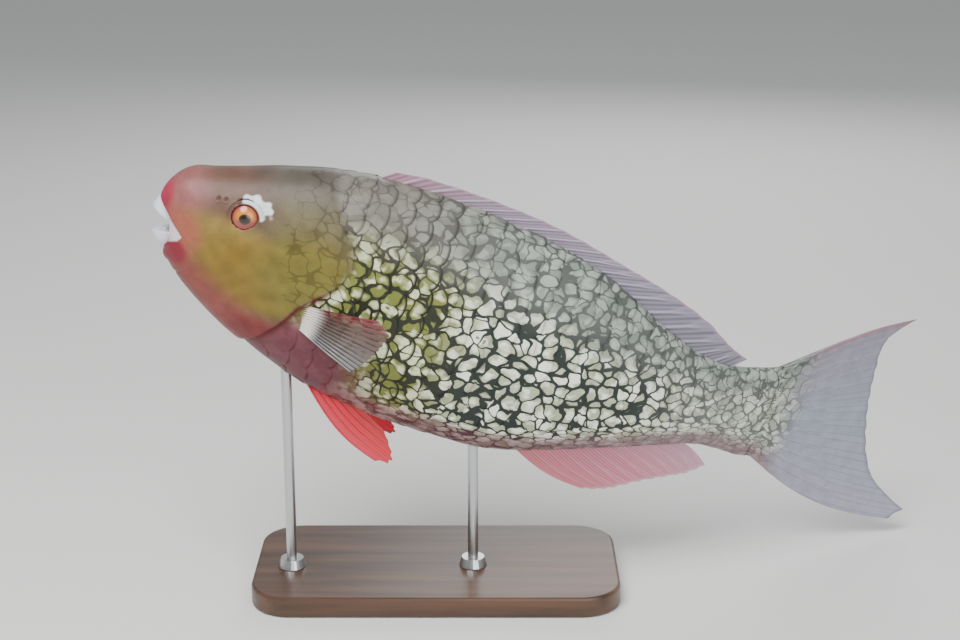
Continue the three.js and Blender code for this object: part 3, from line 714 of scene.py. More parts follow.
def dress(thing, straight, x, a, rho, own=None, own_share=None):
    """Stores what the skin material reads. x and a are the place along and the distance round the
    flank, rho is 0 in the middle of a scale and 1 at its rim. A piece that fades into colours of
    its own gives these and their share."""
    tones, network = markings(straight)
    for name, tone in zip(("lines", "cells", "shaded"), tones):
        keep_colour(thing, name, tone if own is None else lay(tone, own, own_share))
    keep_values(thing, "network", network)
    keep_values(thing, "straight", straight * CM)
    place = straight[:, 0]
    low = straight[:, 2] - profile_at(place)[1]
    drawn = a - BELLY_DRAW * np.maximum(0, BELLY_BAND - low) * ease((place - 130) / 40)
    deep = drawn * (1 + TAIL_FINER * ease((x - FINER_FROM) / FINER_OVER)) * CELL_SQUEEZE
    long = x + TAIL_FINER * np.maximum(0, x - FINER_FROM) ** 2 / (2 * FINER_OVER)
    side = SIDES_APART * np.sign(straight[:, 1])
    keep_values(thing, "flat", np.stack([long * CM, deep * CM, side], -1))
    rim_share = (1 - ease((place - 160) / 45)) * (0.8 + 0.2 * ease((place - 92) / 16))
    keep_values(thing, "rim", rho * rim_share, "FLOAT", "value")


print("cells at the tail are", 1 + TAIL_FINER, "times finer than in front")

# %% [markdown]
# The skin's colours are also wanted as a picture, for programs that can't run the material. That
# picture needs a flat map. Here the right flank fills the map's lower half and the left flank its
# upper half, unrolled by the same distances, so it is stretched little.

# %% Unwrap
UNWRAP_LENGTH, UNWRAP_HALF = 420.0, 110.0
UNWRAP_MARGIN = 0.01


def unwrap(thing, x, a, left):
    """The map OFBake of a piece of skin; left is 1 for points or corners of the left flank."""
    layer = thing.data.uv_layers.new(name="OFBake")
    corner = points_of_corners(thing)
    u = UNWRAP_MARGIN + (1 - 2 * UNWRAP_MARGIN) * np.clip(x / UNWRAP_LENGTH, 0, 1)
    v = 0.25 + (0.25 - 2 * UNWRAP_MARGIN) * np.clip(a / UNWRAP_HALF, -1, 1)
    left = np.asarray(left)
    if left.shape == x.shape:
        left = left[corner]
    write_all(layer.data, "uv", np.stack([u[corner], v[corner] + 0.5 * left], -1))


print("a flank fills", UNWRAP_LENGTH, "by", 2 * UNWRAP_HALF, "mm of the map")

# %% [markdown]
# The skin is dressed first. Each of its points is given its place along the fish and its distance
# round the flank, found back from its height and width. Then it goes through the pose.

# %% Dress and pose the skin
def turn_of(height_share, width_share):
    """The angle on the body of a point at these shares of its half height and half width."""
    back_to_circle = np.sign(height_share) * np.abs(height_share) ** (1 / ROUNDNESS)
    return np.arctan2(back_to_circle, width_share ** (1 / ROUNDNESS))


top, bottom, width = profile_at(skin_at[:, 0])
level = np.clip((skin_at[:, 2] - (top + bottom) / 2) / ((top - bottom) / 2), -1, 1)
skin_arc = arc_at(skin_at[:, 0], turn_of(level, np.clip(np.abs(skin_at[:, 1]) / np.maximum(width, 1), 0, 1)))
dress(skin, skin_at, skin_at[:, 0], skin_arc, np.full(len(skin_at), 0.4))
on_left = read_all(skin.data.polygons, "center", 3)[:, 1] < 0
corners_each = read_all(skin.data.polygons, "loop_total", kind=np.int32)
unwrap(skin, skin_at[:, 0], skin_arc, np.repeat(on_left, corners_each))
write_points(skin, pose(skin_at))
shade_smooth(skin)
print("skin posed:", len(skin.data.polygons), "faces")

# %% [markdown]
# A scale of this fish is a thin tile, a rounded square. Its root is sunk in the skin and its rear
# edge is lifted over the next scales, as on the living fish. One tile is laid out here in steps of
# the lattice: a fan and rings of points above, a bare floor below and an edge between them.

# %% One scale
RINGS, CORNERS = 5, 26
PLATE_ROOT, PLATE_REAR, PLATE_HALF = -0.95, 0.64, 0.68  # in steps of the lattice
PLATE_SQUARE, PLATE_TAPER = 2 / 2.5, 0.12
plate_middle, plate_reach = (PLATE_REAR + PLATE_ROOT) / 2, (PLATE_REAR - PLATE_ROOT) / 2
rings = np.linspace(1 / RINGS, 1, RINGS)
corner_turn = full_turn(CORNERS)
unit_u, unit_v = [np.sign(c) * np.abs(c) ** PLATE_SQUARE for c in (np.cos(corner_turn), np.sin(corner_turn))]
unit_v = unit_v * (1 - PLATE_TAPER * (1 - unit_u))
plate_u = np.concatenate([[plate_middle], (plate_middle + plate_reach * rings[:, None] * unit_u).ravel()])
plate_v = np.concatenate([[0], (PLATE_HALF * rings[:, None] * unit_v).ravel()])
plate_rho = np.concatenate([[0], np.repeat(rings, CORNERS)])
floor_middle = 1 + RINGS * CORNERS
rim_from = floor_middle - CORNERS
floor_under = np.concatenate([[0], np.arange(rim_from, floor_middle)])  # upper points above the floor
whole_plate = np.concatenate([np.arange(floor_middle), floor_under])


def plate_faces():
    """The faces of one tile: fan, rings, edge and floor."""
    j = np.arange(CORNERS)
    k = (j + 1) % CORNERS
    fan = np.stack([0 * j, 1 + j, 1 + k], -1)
    quads = closed_grid(RINGS, CORNERS, start=1)[:, ::-1]
    below = floor_middle + 1
    edge = np.stack([rim_from + j, below + j, below + k, rim_from + k], -1)
    floor = np.stack([0 * j + floor_middle, below + k, below + j], -1)
    return fan, quads, edge, floor


print("a scale has", len(whole_plate), "points")

# %% [markdown]
# Now the lattice is filled. Rows are wide in front and narrow at the tail, as on the fish. Scales
# cover the flank behind the gill cover and run out over cheek and nape, but the face is bare.

# %% The lattice of scales
COLUMN_FROM, COLUMN_STEP, COLUMNS = 53.6, 12.2, 28
ROWS_EACH_WAY, ROW_WIDE, ROW_NARROW = 9, 14.2, 9.4


def row_step(x):
    return ROW_WIDE + (ROW_NARROW - ROW_WIDE) * ease((x - 225) / 130)


def lattice():
    """Place along the fish and distance round the flank of every scale of one side."""
    found = []
    for column in range(COLUMNS):
        x = COLUMN_FROM + COLUMN_STEP * column
        low, high = [np.interp(x, table_x, arc[:, turn]) for turn in (BELLY_TURN, BACK_TURN)]
        pitch = row_step(x)
        for row in range(-ROWS_EACH_WAY, ROWS_EACH_WAY + 1):
            a = (row + 0.5 * (column % 2)) * pitch
            if low + 0.1 * pitch < a < high - 0.15 * pitch:
                z = on_body(np.array([x]), turn_at(np.array([x]), np.array([a])))[0, 2]
                behind = float(behind_gill(x, z))
                nape = x > 80 and z > 34
                cheek = x > 62 and -20 < z <= 34 and behind < -COLUMN_STEP * PLATE_REAR
                if behind > 1.5 or nape or cheek:
                    found.append((x, a))
    return np.array(found).T[..., None]


centre_x, centre_a = lattice()
count = len(centre_x)
print(count, "scales a side")

# %% [markdown]
# All scales of a side become one mesh of closed tiles. A little chance in their size keeps the rows
# from looking stamped. On the head, near the throat and towards the tail they lie flatter, so the
# skin looks calm there.

# %% Make the scales
PLATE_THICK, REAR_LIFT, ROOT_SINK = 0.3, 0.66, 0.3
SIZE_CHANCE = 0.05
MAP_HALF = 0.46  # half of what a scale takes of the map, in steps of the lattice
chance = np.random.default_rng(7)


def scale_coat(name, mirror):
    """All scales of one side as one mesh."""
    uneven = 1 + SIZE_CHANCE * chance.standard_normal((count, 1))
    pitch = row_step(centre_x)
    x = np.minimum(centre_x + COLUMN_STEP * plate_u * uneven, BODY_END - 0.5)
    a = centre_a + pitch * plate_v * (2 - uneven)
    cad = on_flank(x, a, 0 * x)
    z = cad[..., 2]
    share = (plate_u - PLATE_ROOT) / (PLATE_REAR - PLATE_ROOT)
    calm = pitch / ROW_WIDE * (1 - 0.6 * soft_blob(x, z, (88, -42), (34, 25), 0.7))
    calm *= (1 - 0.4 * ease((x - 150) / 60)) * (0.5 + 0.5 * ease((x - 85) / 50))
    domed = REAR_LIFT * share - 0.16 * plate_rho**8
    rest = coat_share(x, z) * (domed * calm - COAT_DEPTH) - ROOT_SINK * (1 - share)
    rest -= gill_sink(x, z) + tail_sink(x)
    under = on_flank(x, a, rest - PLATE_THICK)[:, floor_under]
    points = np.concatenate([on_flank(x, a, rest), under], 1)
    straight = cad[:, whole_plate]
    groups = plate_faces()
    if mirror:
        points[..., 1] *= -1
        straight[..., 1] *= -1
    else:
        groups = [group[:, ::-1] for group in groups]
    first = (np.arange(count) * len(whole_plate))[:, None, None]
    faces = [(group[None] + first).reshape(-1, group.shape[1]) for group in groups]
    coat = mesh_object(name, pose(points.reshape(-1, 3)), faces)
    dress(coat, straight.reshape(-1, 3), x[:, whole_plate].ravel(), a[:, whole_plate].ravel(),
          np.tile(plate_rho[whole_plate], count))
    map_x = centre_x + COLUMN_STEP * MAP_HALF * (plate_u[whole_plate] - plate_middle) / plate_reach
    map_a = centre_a + pitch * MAP_HALF * plate_v[whole_plate] / PLATE_HALF
    unwrap(coat, map_x.ravel(), map_a.ravel(), np.full(map_x.size, mirror))
    return coat


coat_right = scale_coat("scales_right", False)
coat_left = scale_coat("scales_left", True)
print(sum(len(p.vertices) - 2 for p in coat_left.data.polygons), "triangles in the left coat")

# %% [markdown]
# A fin is a thin web carried by rays. Spines at the front of a fin are single, while soft rays
# fork towards the margin. Each fin here is one closed sheet whose surface rises along every ray,
# so the ridges catch the light on both faces. The colour rides on the same numbers.

# %% Fins as rayed sheets
RAY_WIDTH, FORK_SPREAD, RAY_JOINTS = 0.11, 0.17, 26


def ray_ridges(s, t, fork_from, spines):
    """How high the rays stand, 0 to 1, with rays at whole numbers of s, and their jointed height."""
    reach = (s - np.round(s))[:, None]
    fork = ease((t - fork_from) / 0.35)[None] * (np.round(s) >= spines)[:, None]
    wide = RAY_WIDTH - 0.02 * fork
    ridge = np.maximum(*[np.exp(-(((reach + way * FORK_SPREAD * fork) / wide) ** 2)) for way in (-1, 1)])
    joints = 0.5 + 0.5 * np.cos(2 * np.pi * t * RAY_JOINTS)
    return ridge, ridge * (1 - 0.12 * joints * ease((t - 0.2) / 0.3))[None]


def sheet_faces(columns, rows):
    """Two grids of quads, back to back, and a border that joins them."""
    n = columns * rows
    grid = closed_grid(columns, rows, wrap=False)
    i = np.arange(columns)
    j = np.arange(rows)
    border = np.concatenate([i * rows, (columns - 1) * rows + j[1:], i[-2::-1] * rows + rows - 1, j[-2:0:-1]])
    after = np.roll(border, -1)
    return [grid, grid[:, ::-1] + n, np.stack([after, border, border + n, after + n], -1)]


def keep_paint(sheet, points, tones):
    """The plain way to colour a fin."""
    keep_colour(sheet, "paint", tones)


def fin_sheet(name, roots, tips, bows, place, root_half, tip_half, colour, notch=0.03, web=0.45,
              fork_from=0.5, spans=10, rows=44, spines=0, bare=None, dressed=keep_paint):
    """A fin from one [along, up] pair a ray for its roots and its tips. place turns these into
    points of the straight fish, colour paints them, web is the web's thickness beside the rays',
    and notch is how far the margin draws in between the rays."""
    rays = len(roots)
    s = np.linspace(0, rays - 1, (rays - 1) * spans + 1)
    t = np.linspace(0, 1, rows)
    root, tip = [
        np.stack([np.interp(s, np.arange(rays), np.array(ends)[:, k]) for k in (0, 1)], -1)
        for ends in (roots, tips)
    ]
    tip += (root - tip) * (notch * np.sin(np.pi * s) ** 2)[:, None]
    ridge, jointed = ray_ridges(s, t, fork_from, spines)
    half = (root_half + (tip_half - root_half) * np.minimum(1, 1.2 * t))[None] * (web + (1 - web) * jointed)
    flat = root[:, None] + (tip - root)[:, None] * t[None, :, None]
    up = flat[..., 1] + np.interp(s, np.arange(rays), bows)[:, None] * np.sin(np.pi * t)[None]
    t_all = np.broadcast_to(t[None], half.shape)
    points = np.concatenate([place(flat[..., 0], up, way * half, t_all).reshape(-1, 3) for way in (1, -1)])
    sheet = mesh_object(name, pose(points), sheet_faces(len(s), rows))
    fix_normals(sheet)
    tone = colour(np.broadcast_to(s[:, None] / (rays - 1), half.shape), t_all, ridge)
    dressed(sheet, points, np.tile(tone.reshape(-1, 3), (2, 1)))
    if bare is not None:
        thin = np.tile(bare(t_all, ridge).ravel(), 2)[points_of_corners(sheet).reshape(-1, 4)]
        sheet["bare_faces"] = thin.mean(1).round().astype(int).tolist()
    return sheet


def upright(x, z, half, t):
    """Places a fin in the fish's middle plane."""
    return np.stack([x, half, z], -1)


def blend(stops, share):
    """A colour along a share from 0 to 1, from stops of a place and a display colour."""
    places = [place for place, _ in stops]
    colours = np.array([paint(*colour) for _, colour in stops])
    return np.stack([np.interp(share, places, colours[:, k]) for k in range(3)], -1)


def fine_streaks(s, rays, strands=3):
    """0 to 1 across a fin, a few pale strands to every ray."""
    return 0.5 + 0.5 * np.cos(2 * np.pi * strands * (rays - 1) * s)


print("a ray's ridge is", round(2 * RAY_WIDTH, 2), "of the way to the next ray wide")

# %% [markdown]
# The back fin is one long low fin with nine spines and ten soft rays. Its margin is read from the
# photo as heights above the back. The rays slope backwards, less so at either end of the fin.

# %% Back fin
DORSAL_FROM, DORSAL_TO, DORSAL_RAYS, DORSAL_SPINES, DORSAL_REACH = 104.0, 338.0, 19, 9, 33.0
DORSAL_SUNK = 5
DORSAL_MARGIN = np.array([
    [104, 2], [129, 5.5], [185, 6.8], [235, 8], [258, 10], [278, 15], [301, 18.5], [322, 17], [352, 4],
])
f = np.linspace(0, 1, DORSAL_RAYS)
dorsal_x = DORSAL_FROM + (DORSAL_TO - DORSAL_FROM) * f
tip_x = dorsal_x + DORSAL_REACH * (0.4 + 0.6 * ease(f / 0.22)) * (1 - 0.6 * ease((f - 0.82) / 0.18))
tip_height = np.interp(tip_x, DORSAL_MARGIN[:, 0], DORSAL_MARGIN[:, 1])
dorsal_roots = np.stack([dorsal_x, profile_at(dorsal_x)[0] - DORSAL_SUNK], -1)
dorsal_tips = np.stack([tip_x, profile_at(tip_x)[0] + tip_height], -1)


def dorsal_colour(s, t, ridge):
    web = blend([(0, (148, 88, 102)), (0.2, (122, 100, 118)), (0.7, (98, 94, 110)), (1, (90, 86, 98))], s)
    tone = lay(web, paint(180, 174, 192), 0.4 * ridge + 0.4 * fine_streaks(s, DORSAL_RAYS))
    return lay(tone, paint(178, 138, 158), ease((t - 0.9) / 0.1) * 0.6)


dorsal = fin_sheet("dorsal_fin_rays", dorsal_roots, dorsal_tips, np.zeros(DORSAL_RAYS), upright,
                   1.5, 0.5, dorsal_colour, notch=0.015, spans=14, spines=DORSAL_SPINES)
print("back fin stands up to", tip_height.max().round(1), "mm above the back")

# %% [markdown]
# The anal fin is rosy and hangs under the rear of the belly. Its margin is a row of points from the
# photo, and the rays are spread evenly along root and margin. They bow backwards a little in front.

# %% Anal fin
ANAL_FROM, ANAL_TO, ANAL_RAYS, ANAL_SPINES, ANAL_SUNK = 231.5, 326.0, 12, 3, 4
ANAL_MARGIN = np.array([
    [283, -72.7], [294, -70.5], [302.5, -67], [313.5, -61], [325, -56], [337, -51.5], [346, -48],
    [354, -41.5],
])
f = np.linspace(0, 1, ANAL_RAYS)
anal_x = ANAL_FROM + (ANAL_TO - ANAL_FROM) * f
anal_roots = np.stack([anal_x, profile_at(anal_x)[1] + ANAL_SUNK], -1)
edge_at = np.linspace(0, 1, len(ANAL_MARGIN))
anal_tips = np.stack([np.interp(f, edge_at, ANAL_MARGIN[:, k]) for k in (0, 1)], -1)


def anal_colour(s, t, ridge):
    web = blend([(0, (190, 88, 100)), (0.5, (184, 100, 122)), (1, (176, 134, 156))], s)
    tone = lay(web, paint(222, 172, 182), 0.3 * ridge + 0.35 * fine_streaks(s, ANAL_RAYS, 4))
    return lay(tone, paint(214, 196, 208), ease((t - 0.94) / 0.06) * 0.5)


anal = fin_sheet("anal_fin_rays", anal_roots, anal_tips, -3.5 + 6 * f, upright,
                 1.5, 0.45, anal_colour, notch=0.02, spans=18, spines=ANAL_SPINES)
print("anal fin", len(anal.data.polygons), "faces")

# %% [markdown]
# The tail fin is a shallow crescent with long corners. On the fish the scales and their pattern run
# out over its root and fade, so this fin wears the skin's material instead of a painted colour, with
# the colours of its own rays to fade into.

# %% Tail fin
UPPER_BOW, LOWER_BOW = 6.5, 9.5
CAUDAL_ROOT_HALF = 28.0  # 3 mm less than in the solid, so the fin leaves the flesh without a step
CAUDAL_TIPS = np.array([
    [470.5, 61.5], [459, 56], [449.5, 49.5], [446.5, 41], [447.5, 32], [448.5, 23], [450, 13.5], [452, 4],
    [455, -6], [458.5, -16.5], [463.5, -28], [471, -39.5], [483, -49], [498, -58.5], [489, -65],
])
up_share = 1 - 2 * np.linspace(0, 1, len(CAUDAL_TIPS))
caudal_bows = np.where(up_share > 0, UPPER_BOW, LOWER_BOW) * up_share * np.abs(up_share)
root_z = CAUDAL_CENTRE + CAUDAL_ROOT_HALF * up_share
caudal_roots = np.stack([np.full(len(root_z), BODY_END - CAUDAL_OVERLAP), root_z], -1)


def caudal_colour(s, t, ridge):
    stops = [(0, (168, 104, 112)), (0.05, (144, 136, 150)), (0.5, (144, 150, 164)), (1, (154, 152, 168))]
    web = blend(stops, s)
    tone = lay(web, paint(168, 170, 182), 0.6 * ridge)
    tone = lay(tone, paint(104, 98, 112), np.exp(-(((1 - ridge) / 0.25) ** 2)) * 0.5)
    return lay(tone, paint(100, 98, 110), ease((t - 0.96) / 0.04) * 0.4)


def caudal_place(x, z, half, t):
    """The fin thins out quickly behind the flesh."""
    return upright(x, z, half * (0.45 + 0.55 * np.maximum(0, 1 - 3 * t)), t)


def dress_base(sheet, points, tones):
    """The body's markings run out over the base of the tail fin and fade into its own colours."""
    x, z = points[:, 0], root_height(points)
    top, bottom = profile_at(BODY_END)[:2]
    level = np.clip((z - (top + bottom) / 2) / ((top - bottom) / 2), -0.999, 0.999)
    a = arc_at(np.full(len(x), BODY_END), np.arcsin(np.sign(level) * np.abs(level) ** (1 / ROUNDNESS)))
    uneven = 4 * np.sin(0.35 * z + 1) * np.sin(0.21 * z + 0.12 * x)
    dress(sheet, points, x, a, 0 * x, tones, ease((x - BODY_END + uneven) / 26))


caudal = fin_sheet(
    "caudal_fin_rays", caudal_roots, CAUDAL_TIPS, caudal_bows, caudal_place, 3.2, 0.5, caudal_colour,
    notch=0.01, web=0.6, fork_from=0.3, rows=110, dressed=dress_base)
print("tail fin reaches", CAUDAL_TIPS[:, 0].max() - BODY_END, "mm behind the flesh")

# %% [markdown]
# The belly fins are bright red and splayed a little. A fin of a pair is laid out once, in its own
# plane, and a hand of 1 or -1 places it on the right or the left. Both pairs are made further down.

# %% Belly fins
PELVIC_LENGTHS = np.array([57.5, 61, 59, 53, 45, 36])
PELVIC_ANGLES = np.radians([-30, -27.8, -27.2, -26.5, -25.5, -24])
PELVIC_X, PELVIC_Z, PELVIC_HALF, PELVIC_STEP, PELVIC_BOW = 111.0, -60.0, 9.0, 3.2, -5.0
PELVIC_SPLAY = math.radians(32)
HANDS = (("left", -1), ("right", 1))
pelvic_steps = np.arange(len(PELVIC_LENGTHS))
pelvic_ways = np.stack([np.cos(PELVIC_ANGLES), np.sin(PELVIC_ANGLES)], -1)
pelvic_roots = np.stack([PELVIC_X + PELVIC_STEP * pelvic_steps, 0.9 * pelvic_steps], -1)
pelvic_tips = pelvic_roots + PELVIC_LENGTHS[:, None] * pelvic_ways
pelvic_bows = PELVIC_BOW * (1 - pelvic_steps / pelvic_steps[-1])


def pelvic_colour(s, t, ridge):
    web = blend([(0, (196, 38, 62)), (0.5, (200, 28, 46)), (1, (180, 38, 42))], s)
    return lay(web, paint(214, 66, 76), ridge * 0.3)


def pelvic_fin(word, hand):
    c, s = math.cos(PELVIC_SPLAY), math.sin(PELVIC_SPLAY)

    def place(x, down, half, t):
        return np.stack([x, hand * (PELVIC_HALF - down * s + half * c), PELVIC_Z + down * c + half * s], -1)

    return fin_sheet(
        f"pelvic_fin_{word}_rays", pelvic_roots, pelvic_tips, pelvic_bows, place,
        1.6, 0.45, pelvic_colour, notch=0.02, spines=1, spans=14)


print("longest belly ray", PELVIC_LENGTHS.max(), "mm")

# %% [markdown]
# A breast fin is a fan on a short stalk, swung out from the flank. Between its rays it is nearly
# clear, so those faces are noted here and get a see-through material of their own later.

# %% Breast fins
PECTORAL_X, PECTORAL_Z, PECTORAL_RAYS, PECTORAL_CURL = 100.0, -18.0, 13, 5
PECTORAL_SWING = math.radians(40)
f = np.linspace(0, 1, PECTORAL_RAYS)
ray_turn = np.radians(17 - 27 * f)
ray_length = (58 - 21 * f**1.2) * (0.8 + 0.2 * ease(f / 0.15))
pectoral_roots = np.stack([-5 + 2 * f, 6.5 - 13 * f], -1)
pectoral_rays = np.stack([5 + ray_length * np.cos(ray_turn), ray_length * np.sin(ray_turn)], -1)
pectoral_tips = pectoral_roots + pectoral_rays
pectoral_start = float(flank(PECTORAL_X, PECTORAL_Z))


def pectoral_colour(s, t, ridge):
    web = blend([(0, (108, 34, 40)), (0.2, (88, 66, 62)), (1, (96, 94, 90))], s)
    rays = blend([(0, (124, 36, 42)), (0.25, (110, 76, 72)), (0.6, (118, 110, 108)), (1, (190, 198, 208))], s)
    return lay(lay(web, rays, ridge * 0.55), paint(236, 230, 224), 1 - ease((t - 0.1) / 0.2))


def see_through(t, ridge):
    """Where the breast fin is bare membrane."""
    return (ridge < 0.45) & (t > 0.28)


def pectoral_fin(word, hand):
    c, s = math.cos(PECTORAL_SWING), math.sin(PECTORAL_SWING)

    def place(out, up, half, t):
        y = hand * (pectoral_start + out * s - half * c - PECTORAL_CURL * t * t)
        return np.stack([PECTORAL_X + out * c + half * s, y, PECTORAL_Z + up], -1)

    return fin_sheet(
        f"pectoral_fin_{word}_rays", pectoral_roots, pectoral_tips, np.zeros(PECTORAL_RAYS), place,
        1.8, 0.4, pectoral_colour, notch=0.015, web=0.3, bare=see_through)


paired = {}
for word, hand in HANDS:
    paired[f"pelvic_fin_{word}"] = pelvic_fin(word, hand)
    paired[f"pectoral_fin_{word}"] = pectoral_fin(word, hand)
print("fins:", [o.name for o in (dorsal, anal, caudal, *paired.values())])

# %% [markdown]
# A fish eye is a hard wet ball. Its iris is a coloured ring painted in rings of a named radius,
# orange above and pink below, and the pupil is nearly black. Beyond the iris the ball is painted
# dark, as shade in the gap where it goes into its socket. The ball's pole looks sideways, so the
# rings of its mesh are the rings of the iris.

# %% Eyes
IRIS_OUT, PUPIL_OUT = 6.9, 3.0
EYE_MESH = (150, 96, 0.01, (0, 2, 1))  # rings, points a ring, gap at the pole, and the pole sideways


def eye_paint(p, centre):
    x, y, z = (p - centre).T
    far = np.hypot(x, z)
    turn = np.arctan2(z, x)
    flecks = 1 + 0.1 * np.sin(23 * turn + 3 * far) * np.sin(9 * turn - 2 * far)
    pupil = np.hypot(x + 0.3 * z, (z - 0.3 * x) * 1.12) - PUPIL_OUT
    above = ease((z - 0.25 * x + 2.4) / 3.6)
    iris = lay(paint(146, 66, 62), paint(206, 128, 26), above) * flecks[:, None]
    tone = lay(paint(26, 18, 10), paint(66, 44, 16), ease((pupil + 1.0) / 1.0))
    tone = lay(tone, iris, ease((pupil - 0.1) / 0.5))
    tone = lay(tone, paint(170, 74, 66), ease((far - 4.7) / 0.7) * (1 - above * 0.35))
    tone = lay(tone, paint(134, 56, 50), ease((far - 6.0) / 0.6))
    # Painted shade: beyond the iris the ball turns dark red-brown, as the gap where it goes into its socket.
    return lay(tone, paint(84, 40, 36), ease((far - IRIS_OUT) / 0.4))


eyes = {}
for word, hand in HANDS:
    centre = np.array([EYE_X, hand * (eye_flank - EYE_SUNK), EYE_Z])
    eye = ball(f"eyeball_{word}", centre, [EYE_RADIUS] * 3, *EYE_MESH)
    straight = read_points(eye)
    keep_colour(eye, "paint", eye_paint(straight, centre))
    write_points(eye, pose(straight))
    eyes[word] = eye
print("eyes stand", round(2 * (eye_flank - EYE_SUNK + EYE_RADIUS), 1), "mm apart, outside to outside")

# %% [markdown]
# The beak is two plates of fused teeth, one on each jaw. Each is the front of a rounded shell,
# cut along the bite and where it goes under the lip, and hollowed behind. Rows of small bumps show
# the single teeth that it grew from.

# %% Beak
UPPER_BEAK = ((16, 0, 4), (17, 11.5, 16), 5.0)
LOWER_BEAK = ((21, 0, -5), (18.5, 11.5, 13), 6.0)
BEAK_CELL, BEAK_SMOOTHING = 0.3, 3
TOOTH_HEIGHT, TOOTH_ROW, TOOTH_TURN = 0.09, 1.5, 11
FAR, WIDE = 60, 40  # beyond the beak on every side


def beak(name, shape, bite_height, bite_slope, away):
    """A beak plate. away is 1 for the upper plate and -1 for the lower."""
    centre, radii, root = shape
    plate = ball(name, centre, radii, 90, 120)
    bite = [(x, bite_height + bite_slope * x) for x in (-20, WIDE)]
    carve(plate, side_prism("bite", [*bite, (WIDE, away * FAR), (-20, away * FAR)]), "INTERSECT")
    carve(plate, side_prism("front", [(-20, -FAR), (20, -FAR), (20, FAR), (-20, FAR)]), "INTERSECT")
    if away > 0:
        under = [(-20, upper_lip(-20) + root), (WIDE, upper_lip(WIDE) + root), (WIDE, -FAR), (-20, -FAR)]
    else:
        under = [(-20, -FAR), (LOWER_LIP_FRONT[0] + root, -FAR), (16 + root, -7), (24 + root, 6), (-20, 6)]
    carve(plate, side_prism("root", under), "INTERSECT")
    carve(plate, ball("hollow", *MOUTH_HOLLOW), "DIFFERENCE")
    melt_together(plate, BEAK_CELL, BEAK_SMOOTHING)
    p = read_points(plate)
    row = p[:, 2] / TOOTH_ROW
    turn = np.arctan2(p[:, 1], p[:, 0] - 30) * TOOTH_TURN
    teeth = TOOTH_HEIGHT * np.sin(np.pi * row) * np.sin(np.pi * (turn + 0.5 * np.round(row)))
    p += normals_of(plate) * teeth[:, None]
    write_points(plate, pose(p))
    shade_smooth(plate)
    rosy = ease((p[:, 0] - 6) / 12) * 0.8
    keep_colour(plate, "paint", lay(paint(222, 228, 238), paint(196, 168, 170), rosy))
    return plate


upper_beak = beak("beak_upper_plate", UPPER_BEAK, 5.2, -0.28, 1)
lower_beak = beak("beak_lower_plate", LOWER_BEAK, -9.2, 0.4, -1)
print("beak", len(upper_beak.data.polygons), len(lower_beak.data.polygons), "faces")

# %% [markdown]
# A material is a network of small nodes. These helpers add a node with its settings and links in one
# line, so that the recipe of a material reads as a list of steps. The gloss is always set on the
# shader's own sockets.

# %% Material helpers
def new_material(name, roughness=0.4, coat=0.0, metallic=0.0, shine=0.5, colour=None):
    """A material, its node tree and its shader. colour is a plain display colour."""
    made = bpy.data.materials.new(name)
    made.use_nodes = True
    shader = made.node_tree.nodes["Principled BSDF"]
    shader.inputs["Roughness"].default_value = roughness
    shader.inputs["Metallic"].default_value = metallic
    shader.inputs["Coat Weight"].default_value = coat
    shader.inputs["Coat Roughness"].default_value = 0.2
    shader.inputs["Specular IOR Level"].default_value = shine
    if colour:
        shader.inputs["Base Color"].default_value = (*paint(*colour), 1)
    return made, made.node_tree, shader


def wear(material, *things):
    """Gives a material to things in place of any that they had."""
    for thing in things:
        thing.data.materials.clear()
        thing.data.materials.append(material)


def add(tree, kind, settings=None, inputs=None):
    """A node with its settings, its inputs filled with numbers or linked from other sockets."""
    made = tree.nodes.new(kind)
    for name, value in (settings or {}).items():
        setattr(made, name, value)
    for name, value in (inputs or {}).items():
        if isinstance(value, bpy.types.NodeSocket):
            tree.links.new(value, made.inputs[name])
        else:
            made.inputs[name].default_value = value
    return made


def attribute(tree, name, output="Color"):
    return add(tree, "ShaderNodeAttribute", {"attribute_name": name}).outputs[output]


def maths(tree, operation, a, b=0.0, c=0.0):
    return add(tree, "ShaderNodeMath", {"operation": operation}, {0: a, 1: b, 2: c}).outputs[0]


def vector_maths(tree, operation, a, b):
    made = add(tree, "ShaderNodeVectorMath", {"operation": operation}, {0: a, 1: b})
    return made.outputs["Value" if operation == "DISTANCE" else "Vector"]


def split(tree, vector):
    """The three numbers of a vector or colour."""
    return tuple(add(tree, "ShaderNodeSeparateXYZ", inputs={0: vector}).outputs)


def noise(tree, place, scale, detail, output="Fac", roughness=0.5):
    made = add(tree, "ShaderNodeTexNoise", inputs={
        "Vector": place, "Scale": scale, "Detail": detail, "Roughness": roughness})
    return made.outputs[0 if output == "Fac" else output]


def smooth_range(tree, value, low, high, to_low=0.0, to_high=1.0):
    made = add(tree, "ShaderNodeMapRange", {"interpolation_type": "SMOOTHSTEP"}, {
        "Value": value, "From Min": low, "From Max": high, "To Min": to_low, "To Max": to_high})
    return made.outputs[0]


def mix_colours(tree, share, a, b, blend_type="MIX"):
    made = add(tree, "ShaderNodeMix", {"data_type": "RGBA", "blend_type": blend_type}, {0: share, 6: a, 7: b})
    return made.outputs[2]


print("materials so far:", len(bpy.data.materials))

# %% [markdown]
# Wet skin is one material for skin, scales and tail fin. The pale cells with dark lines between
# them are a Voronoi web laid on the unrolled flank. Noise bends it, so that no two cells are alike,
# and a round bay is bitten out of some cells, which makes them kidney-shaped as on the fish.

